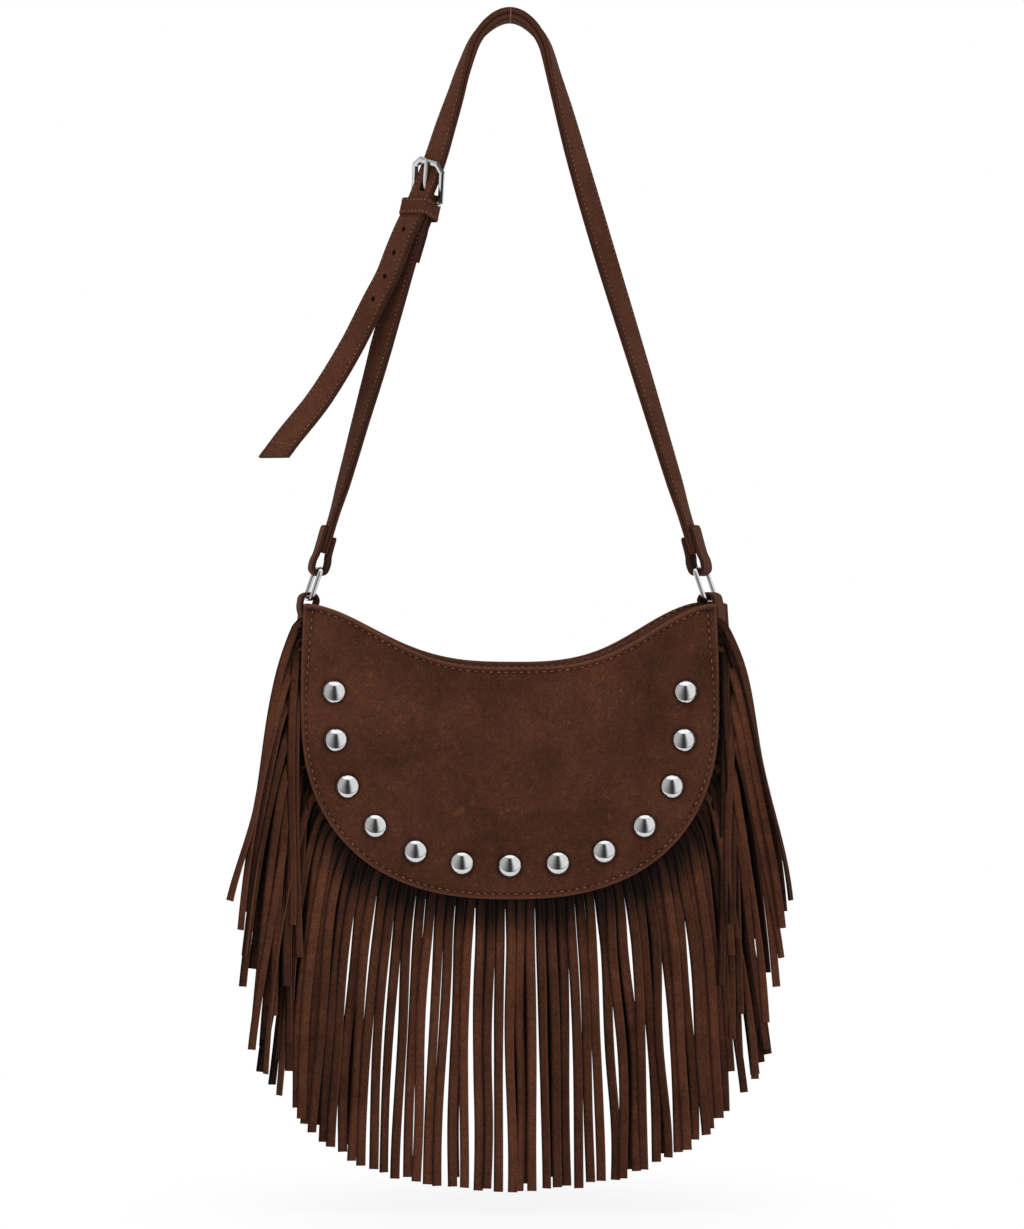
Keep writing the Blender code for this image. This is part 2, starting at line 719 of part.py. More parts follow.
def settled(centre, outward, side):
    """The outward directions again, turned square to the tab's legs where they grip."""
    bar, up, _, out = tab_axes(side)
    reach = (centre - bar) @ up
    share = 1.0 - smoothstep((reach - OUTER_LEG - 0.005) / 0.030)
    near = np.abs(centre[:, 0] - bar[0]) < 0.06
    share = (share * near)[:, None]
    return unit((1 - share) * outward + share * out)


def strap_long_path():
    centre, outward, tangent = route_frames((strap_end("right"), *LONG_ROUTE), 480)
    return centre, settled(centre, outward, "right"), tangent


def stations(centre, outward, count):
    """Indices of count stations along a path, closer together where it bends or twists."""
    step = np.linalg.norm(np.diff(centre, axis=0), axis=1)
    tangent = unit(np.diff(centre, axis=0))
    bend = np.linalg.norm(np.diff(tangent, axis=0, prepend=tangent[:1]), axis=1)
    twist = np.linalg.norm(np.diff(outward, axis=0), axis=1)
    weight = np.concatenate([[0.0], np.cumsum(step + 0.045 * bend + 0.02 * twist)])
    at = np.interp(np.linspace(0.0, weight[-1], count), weight, np.arange(len(centre)))
    return np.unique(np.rint(at).astype(int))


def buckle_axes():
    """The buckle's place: its origin on the long strap, down, outward and across."""
    centre, outward, tangent = strap_long_path()
    point = LONG_ROUTE[BUCKLE_POINT]
    target = np.array([point[0], point[2], point[1]])
    i = int(np.argmin(np.linalg.norm(centre - target, axis=1)))
    down, out = tangent[i], outward[i]
    return centre[i], down, out, np.cross(down, out)


BAR_GAP = FRAME_LENGTH - FRAME_BAR / 2 - HEEL_RADIUS
TOP_OUT = STRAP_THICKNESS / 2 + GAP + 0.5 * FRAME_THICKNESS + 0.0012
HEEL_IN = STRAP_THICKNESS / 2 + GAP + FOLD_LEATHER + HEEL_PLAY + HEEL_RADIUS


def buckle_points():
    """The middles of the buckle's top bar and heel bar."""
    origin, down, out, _ = buckle_axes()
    half = 0.5 * math.sqrt(BAR_GAP**2 - (TOP_OUT + HEEL_IN) ** 2)
    top = origin - half * down + TOP_OUT * out
    heel = origin + half * down - HEEL_IN * out
    return top, heel


def make_strap_long(mats):
    """The long strap, from the right tab over the crown to its free tip, cut level."""
    centre, outward, tangent = strap_long_path()
    along = np.concatenate([[0.0], np.cumsum(np.linalg.norm(np.diff(centre, axis=0), axis=1))])
    crown = along[int(np.argmax(centre[:, 2]))]
    share = smoothstep(1.0 - np.abs(along - crown) / CROWN_REACH)
    thickness = STRAP_THICKNESS + (CROWN_THICKNESS - STRAP_THICKNESS) * share
    keep = stations(centre, outward, 60)
    keep = np.append(keep[along[keep] < along[-1] - TIP_REACH], len(centre) - 1)
    rings = ribbon_sections(centre[keep], outward[keep], STRAP_WIDTH, thickness[keep], STRAP_CHAMFER)
    across = np.cross(tangent[-1], outward[-1])
    slant = -np.clip(across[2] / tangent[-1, 2], -TIP_SLANT, TIP_SLANT)
    rings[-1] += slant * ((rings[-1] - centre[-1]) @ across)[:, None] * tangent[-1]
    strap = loft("strap_long", rings, mats["strap"])
    origin, down, out, across = buckle_axes()
    used = int(np.argmin(np.linalg.norm(centre - origin, axis=1)))
    for k in range(1, HOLE_COUNT + 1):
        i = int(np.argmin(np.abs(along - (along[used] + k * HOLE_PITCH))))
        side = np.cross(tangent[i], outward[i])
        ring = [
            centre[i] + HOLE_RADIUS * (math.cos(a) * tangent[i] + math.sin(a) * side)
            for a in 2 * math.pi * np.arange(10) / 10
        ]
        deep = 0.8 * STRAP_THICKNESS * outward[i]
        cut(strap, loft(f"hole_cutter_{k}", [np.array(ring) - deep, np.array(ring) + deep], mats["strap"]))
    cut(strap, prong_slot(mats))


def prong_line():
    """The prong's straight stretch: where it leaves the heel bar, its tip and lean."""
    top, heel = buckle_points()
    frame_down = unit(heel - top)
    across = buckle_axes()[3]
    frame_out = unit(np.cross(across, frame_down))
    clear = 0.5 * FRAME_THICKNESS + GAP + 0.5 * PRONG_THICKNESS
    eye = HEEL_RADIUS + HEEL_PLAY + 0.5 * PRONG_THICKNESS
    tip = top - PRONG_OVERHANG * frame_down + clear * frame_out
    leave = heel + eye * frame_out
    return leave, tip, frame_down, frame_out, across, heel


def prong_slot(mats):
    """The hole in the long strap that the prong passes through, slanted as it is."""
    leave, tip, down, out, across, _ = prong_line()
    lean = unit(tip - leave)
    lift = unit(np.cross(across, -lean))
    half = 0.5 * PRONG_THICKNESS
    low = -half - SLOT_PLAY
    # The slot widens outward, so that the prong can lift.
    outline = (
        (0.0, low), (0.0, half + 3 * SLOT_PLAY),
        (SLOT_REACH, half + 8 * SLOT_PLAY), (SLOT_REACH, low),
    )
    wide = 0.5 * PRONG_WIDTH + SLOT_PLAY
    rings = [
        [leave + a * lean + b * lift + sign * wide * across for a, b in outline]
        for sign in (-1, 1)
    ]
    return loft("slot_cutter", rings, mats["strap"])


def strap_short_path():
    """The short strap's middle line, from its lap round the heel bar to its tab."""
    _, heel = buckle_points()
    _, down, out, _ = buckle_axes()
    radius = HEEL_RADIUS + HEEL_PLAY + FOLD_LEATHER / 2
    first = SHORT_ROUTE[0]
    start = heel + FOLD_START * down + radius * out
    run = np.array([first[0], first[2], first[1]]) - start
    lap = []
    for share in (1.0, 0.75, 0.5, 0.32):
        behind = 0.5 * fold_thickness(share * FOLD_LAP) + 2 * GAP + FOLD_LEATHER / 2
        lap.append(start + share * run - behind * out)
    turn = [
        heel + radius * (-math.sin(a) * down - math.cos(a) * out)
        for a in np.radians((0, 36, 72, 108, 144, 180))
    ]
    return lap, turn, [start]


def fold_thickness(ahead):
    """The short strap's thickness, ahead of where its thinned end leaves the heel bar."""
    return FOLD_LEATHER + (STRAP_THICKNESS - FOLD_LEATHER) * smoothstep(ahead / FOLD_TAPER)


def make_strap_short(mats):
    """The short strap: its thinned end turns round the heel bar and laps behind itself."""
    lap, turn, front = strap_short_path()
    _, down, out, across = buckle_axes()
    end = strap_end("left")
    body = [np.array([p[0], p[2], p[1]]) for p in (*SHORT_ROUTE, end)]
    angle = np.array([p[3] for p in (*SHORT_ROUTE, end)])
    fold = curve_through(np.array([*lap, *turn, *front]), 18)
    start = fold[-1]
    rest = curve_through(np.array([fold[-2], start, *body]), 40)
    rest = rest[np.linalg.norm(rest - start, axis=1).argmin() + 1:]
    centre = np.vstack([fold, rest])
    tangent = unit(np.gradient(centre, axis=0))
    fold_out = np.cross(across, tangent[: len(fold)])
    route_z = np.array([p[2] for p in body])
    turns = np.interp(-rest[:, 2], -np.concatenate([[start[2]], route_z]),
                      np.concatenate([[LONG_ROUTE[BUCKLE_POINT][3]], angle]))
    body_tangent = tangent[len(fold):]
    flat = unit(np.stack([body_tangent[:, 2], np.zeros(len(rest)), -body_tangent[:, 0]], axis=1))
    rad = np.radians(turns)
    body_out = np.cos(rad)[:, None] * flat
    body_out[:, 1] -= np.sin(rad)
    outward = np.vstack([fold_out, settled(rest, unit(body_out), "left")])
    ahead = np.concatenate([[0.0], np.cumsum(np.linalg.norm(np.diff(rest, axis=0), axis=1))])
    thick = np.concatenate([np.full(len(fold), FOLD_LEATHER), fold_thickness(ahead)])
    rings = ribbon_sections(centre, outward, STRAP_WIDTH, thick, STRAP_CHAMFER)
    strap = loft("strap_short", rings, mats["strap"])
    _, heel = buckle_points()
    sizes = (CREW_LENGTH, CREW_DEPTH, PRONG_WIDTH + 2 * CREW_PLAY)
    verts, faces = box_on(heel + CREW_SHIFT * down, (down, out, across), sizes)
    cut(strap, mesh_object("crew_cutter", verts, faces, mats["strap"]))


def make_buckle(mats):
    """The bevelled frame with cut corners, and the prong that turns on its heel bar."""
    top, heel = buckle_points()
    down = unit(heel - top)
    across = buckle_axes()[3]
    out = unit(np.cross(across, down))
    half = FRAME_WIDTH / 2 - FRAME_BAR / 2
    length = float(np.linalg.norm(heel - top))
    cut = FRAME_CORNER
    low_cut = HEEL_CORNER
    corners = [
        (0.0, half - cut), (cut, half), (length - low_cut, half), (length, half - low_cut),
        (length, low_cut - half), (length - low_cut, -half), (cut, -half), (0.0, cut - half),
    ]
    corners = np.array(corners)
    rings = []
    count = len(corners)
    for i in range(count):
        before, here, after = corners[i - 1], corners[i], corners[(i + 1) % count]
        a, b = unit(here - before), unit(after - here)
        mitre = unit(a + b)
        normal = np.array([mitre[1], -mitre[0]])
        stretch = 1.0 / max(0.5, float(mitre @ a))
        on_heel = i in (3, 4)
        wide = 2 * HEEL_RADIUS if on_heel else FRAME_BAR
        thick = 2 * HEEL_RADIUS if on_heel else FRAME_THICKNESS
        bevel = 0.6 * HEEL_RADIUS if on_heel else 0.0011
        for p, q in bar_section(wide, thick, bevel):
            flat = here + normal * p * stretch
            rings.append(top + flat[0] * down + flat[1] * across + q * out)
    rings = np.array(rings).reshape(count, 8, 3)
    loft("buckle_frame", rings, mats["steel"], closed=True, location=heel)
    leave, tip, _, _, _, _ = prong_line()
    eye = HEEL_RADIUS + HEEL_PLAY + 0.5 * PRONG_THICKNESS
    turn = [
        heel + eye * (math.sin(a) * -down + math.cos(a) * out)
        for a in np.radians((-292, -248, -204, -160, -120, -80, -40))
    ]
    line = [leave + share * (tip - leave) for share in (0.12, 0.35, 0.65, 1.0)]
    centre = curve_through(np.array([*turn, *line]), 22)
    tangent = unit(np.gradient(centre, axis=0))
    outward = np.cross(across, tangent)
    sections = ribbon_sections(centre, outward, PRONG_WIDTH, PRONG_THICKNESS, 0.0005)
    loft("buckle_prong", sections, mats["steel"], location=heel, smooth=True)


def make_keeper(mats):
    """The sewn leather loop that holds the long strap's free end on the short strap."""
    centre, outward, tangent = strap_long_path()
    origin = buckle_axes()[0]
    along = np.concatenate([[0.0], np.cumsum(np.linalg.norm(np.diff(centre, axis=0), axis=1))])
    at = int(np.argmin(np.linalg.norm(centre - origin, axis=1)))
    i = int(np.argmin(np.abs(along - (along[at] + KEEPER_DROP))))
    down, out = tangent[i], outward[i]
    across = np.cross(down, out)
    wide = STRAP_WIDTH / 2 + KEEPER_SLACK
    high = STRAP_THICKNESS / 2 + 2 * GAP
    low = high + STRAP_THICKNESS + FOLD_LEATHER + 4 * GAP + KEEPER_SLACK
    mid = KEEPER_LEATHER / 2
    corner = 0.0016
    inner = rounded_box(wide, -low, high, corner, 4)
    outer = rounded_box(wide + KEEPER_LEATHER, -low - KEEPER_LEATHER, high + KEEPER_LEATHER, corner + mid, 4)
    verts, faces = [], []
    count = len(inner)
    for end in (-0.5, 0.5):
        for loop in (inner, outer):
            for a, b in loop:
                verts.append(centre[i] + a * across + b * out + end * KEEPER_WIDTH * down)
    for k in range(count):
        m = (k + 1) % count
        a, b, c, d = k, count + k, 2 * count + k, 3 * count + k
        e, f, g, h = m, count + m, 2 * count + m, 3 * count + m
        faces += [(a, e, f, b), (c, d, h, g), (b, f, h, d), (a, c, g, e)]
    mesh_object("strap_keeper", verts, faces, mats["strap"])


def rounded_box(half_width, low, high, corner, steps):
    """A rectangle with round corners, as (across, out) points."""
    points = []
    centres = (
        (half_width - corner, high - corner, 0), (corner - half_width, high - corner, 90),
        (corner - half_width, low + corner, 180), (half_width - corner, low + corner, 270),
    )
    for x, y, start in centres:
        for k in range(steps + 1):
            a = math.radians(start + 90 * k / steps)
            points.append((x + corner * math.cos(a), y + corner * math.sin(a)))
    return points


def make_ring(side, mats):
    """A wire ring with two straight bars, one in each tab's loop."""
    top, down, across = ring_axes(side)
    out = np.cross(across, down)
    length = RING_LENGTH
    half = RING_SPAN / 2
    line = []
    for x, y, start in (
        (RING_CORNER, half - RING_CORNER, 90), (RING_CORNER, RING_CORNER - half, 180),
        (length - RING_CORNER, RING_CORNER - half, 270), (length - RING_CORNER, half - RING_CORNER, 0),
    ):
        for k in range(5):
            a = math.radians(start + 22.5 * k)
            line.append((x + RING_CORNER * math.cos(a), y + RING_CORNER * math.sin(a)))
    line = np.array(line)
    centre = top + line[:, :1] * down + line[:, 1:] * across
    tangent = unit(np.roll(centre, -1, axis=0) - np.roll(centre, 1, axis=0))
    rings = []
    for c, t in zip(centre, tangent):
        side_way = np.cross(t, out)
        angle = 2 * math.pi * np.arange(8) / 8
        rings.append([
            c + 0.5 * RING_WIRE * (math.cos(a) * side_way + math.sin(a) * out) for a in angle
        ])
    loft(f"{side}_ring", rings, mats["steel"], closed=True, smooth=True, location=top)


def make_strap_tab(side, mats):
    """A folded tab: its loop holds the ring's upper bar and its legs grip the strap's end."""
    bar, up, across, out = tab_axes(side)
    leg = STRAP_THICKNESS / 2 + GAP + STRAP_TAB_LEATHER / 2
    loop = STRAP_LOOP + STRAP_TAB_LEATHER / 2
    centre_up = STRAP_LOOP - RING_WIRE / 2 - GAP
    # (out, up) along the fold: the outer leg, the loop round the bar, the inner leg.
    shape = [
        (leg, OUTER_LEG), (leg, 0.0135), (leg + 0.0002, 0.0085), (loop, 0.0030),
        (loop * math.cos(0.5), -loop * math.sin(0.5)), (loop * 0.6, -loop * 0.8), (0.0, -loop),
        (-loop * 0.6, -loop * 0.8), (-loop * math.cos(0.5), -loop * math.sin(0.5)),
        (-loop, 0.0030), (-leg - 0.0002, 0.0085), (-leg, 0.0135), (-leg, INNER_LEG),
    ]
    centre = np.array([bar + a * out + (b + centre_up) * up for a, b in shape])
    centre = curve_through(centre, 26)
    tangent = unit(np.gradient(centre, axis=0))
    outward = np.cross(tangent, across)
    rings = ribbon_sections(centre, outward, TAB_WIDTH, STRAP_TAB_LEATHER, 0.0006)
    loft(f"{side}_strap_tab", rings, mats["strap"])


def make_bag_tab(side, mats):
    """A folded tab whose loop hangs on the ring and whose legs straddle the gusset's end."""
    low = np.array(RING_LOW[side])
    across = ring_axes(side)[2]
    sign = SIDES[side]
    up = np.array([0.0, 0.0, 1.0])
    out = sign * unit(np.array([across[1], -across[0], 0.0]))
    leg = GUSSET_LEATHER / 2 + GAP + BAG_TAB_LEATHER / 2
    loop = BAG_LOOP + BAG_TAB_LEATHER / 2
    sink = BAG_LOOP - RING_WIRE / 2 - GAP
    legs = []
    for drop in (BAG_LEG, 0.7 * BAG_LEG, 1.5 * GUSSET_END_DROP, GUSSET_END_DROP):
        legs.append(((gusset_web(side, drop) - low) @ out, CORNER_Z - drop - low[2] + sink))
    neck = 0.5 * legs[-1][0]
    # (out, up) along the fold: up one leg, round the bar and down the other leg.
    shape = [(x + leg, z) for x, z in legs]
    shape += [
        (neck + loop * 0.90, -0.0045), (loop * 1.06, 0.0002), (loop * 0.86, 0.0037),
        (loop * 0.36, loop), (-loop * 0.36, loop), (-loop * 0.86, 0.0037), (-loop * 1.06, 0.0002),
        (neck - loop * 0.90, -0.0045),
    ]
    shape += [(x - leg, z) for x, z in reversed(legs)]
    centre = np.array([low + a * out + (b - sink) * up for a, b in shape])
    centre = curve_through(centre, 28)
    tangent = unit(np.gradient(centre, axis=0))
    outward = np.cross(tangent, across)
    rings = ribbon_sections(centre, outward, TAB_WIDTH, BAG_TAB_LEATHER, 0.0005)
    loft(f"{side}_bag_tab", rings, mats["strap"])


def gusset_web(side, drop):
    """The middle of the gusset's web on one side, drop below the corner along its edge."""
    share = drop / OUTLINE_LENGTH
    p = edge(share, -GUSSET_INSET - GUSSET_LEATHER / 2)
    x = float(splayed(SIDES[side] * abs(p[0]), 0.0, p[1]))
    return np.array([x, 0.0, p[1]])


def build():
    clear_scene()
    mats = {
        "suede": material("suede", SUEDE, 0.9),
        "strap": material("strap_leather", SUEDE_LIGHT, 0.6),
        "facing": material("facing_leather", SUEDE_LIGHT, 0.7),
        "lining": material("lining_cloth", LINING, 0.9),
        "steel": material("polished_steel", STEEL, 0.2, 1.0),
    }
    make_panels(mats)
    make_facings(mats)
    make_gusset(mats)
    make_lining(mats)
    make_fringe(mats)
    make_studs(mats)
    make_snap(mats)
    make_strap_long(mats)
    make_strap_short(mats)
    make_buckle(mats)
    make_keeper(mats)
    for side in SIDES:
        make_ring(side, mats)
        make_strap_tab(side, mats)
        make_bag_tab(side, mats)


build()
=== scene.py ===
"""Fringed suede shoulder bag: the visible surfaces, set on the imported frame.

Metres, +Z up, the front faces -Y, the origin is the underside of the strap's crown.
"""
import math

import bmesh
import bpy
import numpy as np
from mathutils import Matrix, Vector


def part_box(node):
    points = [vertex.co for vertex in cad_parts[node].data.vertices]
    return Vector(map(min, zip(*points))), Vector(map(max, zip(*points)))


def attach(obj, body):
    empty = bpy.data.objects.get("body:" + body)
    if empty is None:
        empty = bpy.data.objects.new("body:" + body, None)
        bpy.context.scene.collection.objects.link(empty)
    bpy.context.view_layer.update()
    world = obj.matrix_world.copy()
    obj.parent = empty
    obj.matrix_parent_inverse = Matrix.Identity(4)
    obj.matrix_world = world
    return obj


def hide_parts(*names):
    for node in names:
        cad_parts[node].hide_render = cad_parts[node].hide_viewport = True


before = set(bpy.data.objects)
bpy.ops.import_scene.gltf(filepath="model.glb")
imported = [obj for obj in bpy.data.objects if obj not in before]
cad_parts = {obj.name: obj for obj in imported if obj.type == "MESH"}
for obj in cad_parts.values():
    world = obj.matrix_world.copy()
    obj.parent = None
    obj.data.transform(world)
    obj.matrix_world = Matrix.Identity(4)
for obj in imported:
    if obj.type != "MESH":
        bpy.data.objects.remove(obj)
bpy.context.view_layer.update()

MM = 0.001
rng = np.random.default_rng(7)

# Bag body
STRAP_WIDTH = 0.018
TAB_WIDTH = STRAP_WIDTH + 0.002
PANEL_HALF_WIDTH = 0.1455
CORNER_HALF_WIDTH = PANEL_HALF_WIDTH - 0.002
PANEL_HEIGHT = 0.204
PANEL_RUN = 0.175
SIDE_DROP = 0.066
OUTLINE_POWER = 2.45
MOUTH_DIP = 0.0435
CORNER_Z = -0.408
CORNER_HALF_DEPTH = TAB_WIDTH / 2 + 0.0025
BOTTOM_HALF_DEPTH = 0.026
DEPTH_REACH = 0.150
PILLOW = 0.007
SPLAY_REACH = 0.085
GAP = 0.0003

# Leather
PANEL_LEATHER = 0.0022
GUSSET_LEATHER = 0.0018
GUSSET_INSET = 0.002
GUSSET_END_DROP = 0.0085
FLANGE = 0.008
FACING_LEATHER = 0.0012
FACING_SHARE = 0.17
LINING_CLOTH = 0.0008
LINING_DROP = 0.024
RIM_SHARE = 0.33
EDGE_STEPS = np.array([0.7, 0.7, 0.7, 0.7, 0.7, 0.8, 0.9, 1.2, 1.6, 2.2]) * MM

# Fringe
STRAND_WIDTH = 0.006
STRAND_PITCH = 0.0068
STRAND_LENGTH = 0.205
STRAND_LEATHER = 0.0012
STRAND_ROOT = 0.0030
STRAND_BEND = 0.012
STRAND_DROOP = 0.35
HEADING = 0.006
FRINGE_TOP = 0.010
SIDE_SHARE = 0.253
BOTTOM_SPREAD = 1.195

# Studs and snap
STUD_COUNT = 13
STUD_RADIUS = 0.008
STUD_HEIGHT = 0.0055
STUD_INSET = 0.0232
STUD_PITCH = 0.0334
SNAP_RADIUS = 0.008
SNAP_THICKNESS = 0.0022

# Strap
STRAP_THICKNESS = 0.005
HOLE_RADIUS = 0.0016
HOLE_PITCH = 0.0185
HOLE_COUNT = 5
TIP_REACH = 0.030
CROWN_ROUND = 0.0085
CROWN_TOP = 0.0092
CROWN_THICK = 0.0090
CROWN_SWELL = 0.070
CROWN_WIDEN = 0.14

# Buckle and keeper
FRAME_LENGTH = 0.0315
FRAME_BAR = 0.0045
FRAME_WIDTH = STRAP_WIDTH + 2 * (FRAME_BAR + 0.00125)
FRAME_THICKNESS = 0.0032
FRAME_CORNER = 0.0050
BEND_REACH = 0.0009
SOFT_EDGE = 0.18 * MM
HEEL_CORNER = 0.0014
HEEL_RADIUS = 0.0020
HEEL_PLAY = 0.0006
FOLD_LEATHER = 0.0022
FOLD_START = 0.0055
FOLD_TAPER = 0.020
FOLD_LAP = 0.040
PRONG_WIDTH = 0.0032
PRONG_THICKNESS = 0.0016
PRONG_OVERHANG = 0.0028
SLOT_REACH = 0.0220
SLOT_PLAY = 0.0006
CUT_SHIFT = 0.002
CUT_HALF_LENGTH = 0.0085
CUT_HALF_DEPTH = 0.0055
CUT_PLAY = 0.0007
KEEPER_WIDTH = 0.012
KEEPER_LEATHER = 0.0016
KEEPER_SLACK = 0.0012
KEEPER_DROP = 0.0195
KEEPER_TILT = math.radians(15.0)

# Rings and tabs
RING_WIRE = 0.0034
RING_LENGTH = 0.0215
RING_CORNER = 0.0037
RING_SPAN = TAB_WIDTH + 2 * (RING_WIRE + 0.00035)
STRAP_TAB_LEATHER = 0.0026
BAG_TAB_LEATHER = 0.0022
STRAP_LOOP = 0.0039
BAG_LOOP = 0.0042
OUTER_LEG = 0.0290
INNER_LEG = 0.0225
BAG_LEG = 0.0300
STRAP_END_LIFT = 0.0120
GRIP_LIFT = 0.005
GRIP_FADE = 0.030
GRIP_REACH = 0.06
TAB_ROUND = 0.0036

# Where the hardware hangs: the middle of each ring's lower bar (x, y, z), how far
# the ring leans inward and how far it turns about the upright, both in degrees.
RING_LOW = {
    "left": (0.0023 - CORNER_HALF_WIDTH, 0.0, -0.4036),
    "right": (CORNER_HALF_WIDTH - 0.0035, 0.0, -0.4035),
}
RING_LEAN = {"left": 19.4, "right": 20.6}
RING_TURN = {"left": 12.0, "right": 20.0}
SIDES = {"left": -1.0, "right": 1.0}

# The straps' routes: x, y, z, and how far the outer face turns to the front. Both
# are turned further at the buckle, where they lie flatter than in the plain model.
LONG_PLAN = (
    (0.1190, 0.0025, -0.3346, 27.0), (0.0913, 0.0012, -0.2436, 40.0), (0.0634, 0.0, -0.1526, 50.0),
    (0.0469, 0.0, -0.0959, 45.0), (0.0346, 0.0, -0.0511, 30.0), (0.0262, 0.0, -0.0245, 14.0),
    (0.0165, 0.0, -0.0065, 4.0), (0.0000, 0.0, 0.0052, -2.0), (-0.0176, 0.0, -0.0064, 4.0),
    (-0.0252, 0.0, -0.0180, 10.0), (-0.0322, 0.0, -0.0325, 18.0), (-0.0385, 0.0, -0.0525, 27.0),
    (-0.0448, 0.0, -0.0721, 33.0), (-0.0520, 0.0, -0.0952, 37.0), (-0.0585, 0.0, -0.1125, 38.0),
    (-0.0658, 0.0, -0.1302, 40.0), (-0.0730, -0.0018, -0.1455, 45.0), (-0.0790, -0.0040, -0.1603, 50.0),
    (-0.0856, -0.0060, -0.1778, 54.0), (-0.0952, -0.0080, -0.1967, 58.0),
    (-0.1108, -0.0110, -0.2282, 62.0), (-0.1330, -0.0130, -0.2646, 66.0),
    (-0.1540, -0.0140, -0.2912, 69.0), (-0.1645, -0.0140, -0.3052, 70.0),
)
SHORT_PLAN = (
    (-0.0732, 0.0035, -0.1656, 41.0), (-0.0795, 0.0005, -0.1890, 43.0), (-0.0903, 0.0, -0.2282, 45.0),
    (-0.0948, 0.0, -0.2450, 42.0), (-0.1043, 0.0008, -0.2786, 32.0), (-0.1159, 0.0015, -0.3206, 22.0),
)
BUCKLE_POINT = 14
BUCKLE_TURN = 16.0
BUCKLE_LIFT = 0.0023

FRONT_MID = 2 * GAP + STRAND_LEATHER + PANEL_LEATHER / 2
BACK_MID = GAP + PANEL_LEATHER / 2
LINING_IN = GUSSET_INSET + GUSSET_LEATHER + GAP + BAG_TAB_LEATHER + 2 * GAP + LINING_CLOTH / 2
LINING_BACK = GUSSET_LEATHER + GAP + LINING_CLOTH
BAR_GAP = FRAME_LENGTH - FRAME_BAR / 2 - HEEL_RADIUS
TOP_OUT = STRAP_THICKNESS / 2 + GAP + 0.5 * FRAME_THICKNESS + 0.0012
HEEL_IN = STRAP_THICKNESS / 2 + GAP + FOLD_LEATHER + HEEL_PLAY + HEEL_RADIUS
PRONG_EYE = HEEL_RADIUS + HEEL_PLAY + 0.5 * PRONG_THICKNESS

# Threads: pitch, length and width, how deep they lie, and how far inside the edges
PANEL_STITCH = (5.3 * MM, 2.5 * MM, 0.68 * MM)
STRAP_STITCH = (3.5 * MM, 1.9 * MM, 0.50 * MM)
TAB_STITCH = (3.4 * MM, 1.9 * MM, 0.50 * MM)
KEEPER_STITCH = (3.0 * MM, 2.0 * MM, 0.55 * MM)
THREAD_DEPTH = 0.3 * MM
CROWN_THREAD = 0.28 * MM
MOUTH_SEAM = 3.3 * MM
STRAP_SEAM = 2.1 * MM
TAB_SEAM = 2.2 * MM


# Vectors and lines

def unit(v):
    v = np.asarray(v, float)
    return v / np.linalg.norm(v, axis=-1, keepdims=True)


def square_to(v, axis):
    """The directions nearest to v that are square to axis."""
    return unit(v - (v * axis).sum(-1, keepdims=True) * axis)


def smoothstep(x):
    x = np.clip(x, 0.0, 1.0)
    return x * x * (3.0 - 2.0 * x)


def bell(away, wide):
    """exp(-(away/wide)^2)."""
    return np.exp(-(away / wide) ** 2)


def round_angles(count, first=0.0):
    return 2 * np.pi * (np.arange(count) + first) / count


def tangents(line):
    return unit(np.gradient(line, axis=0))


def tangents_round(loop, step=1):
    return unit(np.roll(loop, -step, axis=0) - np.roll(loop, step, axis=0))


def nearest(points, target):
    return int(np.argmin(np.linalg.norm(points - target, axis=1)))


def along_of(points):
    """Length run at each point of a polyline."""
    return np.concatenate([[0.0], np.cumsum(np.linalg.norm(np.diff(points, axis=0), axis=1))])


def read_at(at, run, rows):
    """The rows of a table, whose places are run, read at the places at."""
    return np.stack([np.interp(at, run, column) for column in rows.T], axis=-1)


def resample(points, count):
    """The polyline's points again, evenly spaced along its length."""
    run = along_of(points)
    return read_at(np.linspace(0.0, run[-1], count), run, points)


def curve_through(points, count):
    """A smooth curve through the given points (centripetal Catmull-Rom), evenly spaced."""
    p = np.asarray(points, float)
    p = np.vstack([2 * p[0] - p[1], p, 2 * p[-1] - p[-2]])
    fine = []
    for a, b, c, d in zip(p[:-3], p[1:-2], p[2:-1], p[3:]):
        knots = [0.0]
        for q, r in ((a, b), (b, c), (c, d)):
            knots.append(knots[-1] + max(np.linalg.norm(r[:3] - q[:3]), 1e-9) ** 0.5)
        t = np.linspace(knots[1], knots[2], 16, endpoint=False)[:, None]
        level = [a, b, c, d]
        for pairs in (((0, 1), (1, 2), (2, 3)), ((0, 2), (1, 3)), ((1, 2),)):
            ends = [(knots[i], knots[j]) for i, j in pairs]
            level = [(high - t) / (high - low) * q + (t - low) / (high - low) * r
                     for (low, high), q, r in zip(ends, level, level[1:])]
        fine.append(level[0])
    return resample(np.vstack([*fine, p[-2:-1]]), count)


def rounded_loop(corners, radius, steps, count):
    """A closed line of even points over quarter circles at (x, y, first angle)."""
    arcs = []
    for x, y, start in corners:
        a = np.radians(start + np.linspace(0.0, 90.0, steps))
        arcs.append(np.stack([x + radius * np.cos(a), y + radius * np.sin(a)], 1))
    return resample(np.vstack([*arcs, arcs[0][:1]]), count + 1)[:-1]


# The bag's outline and depth

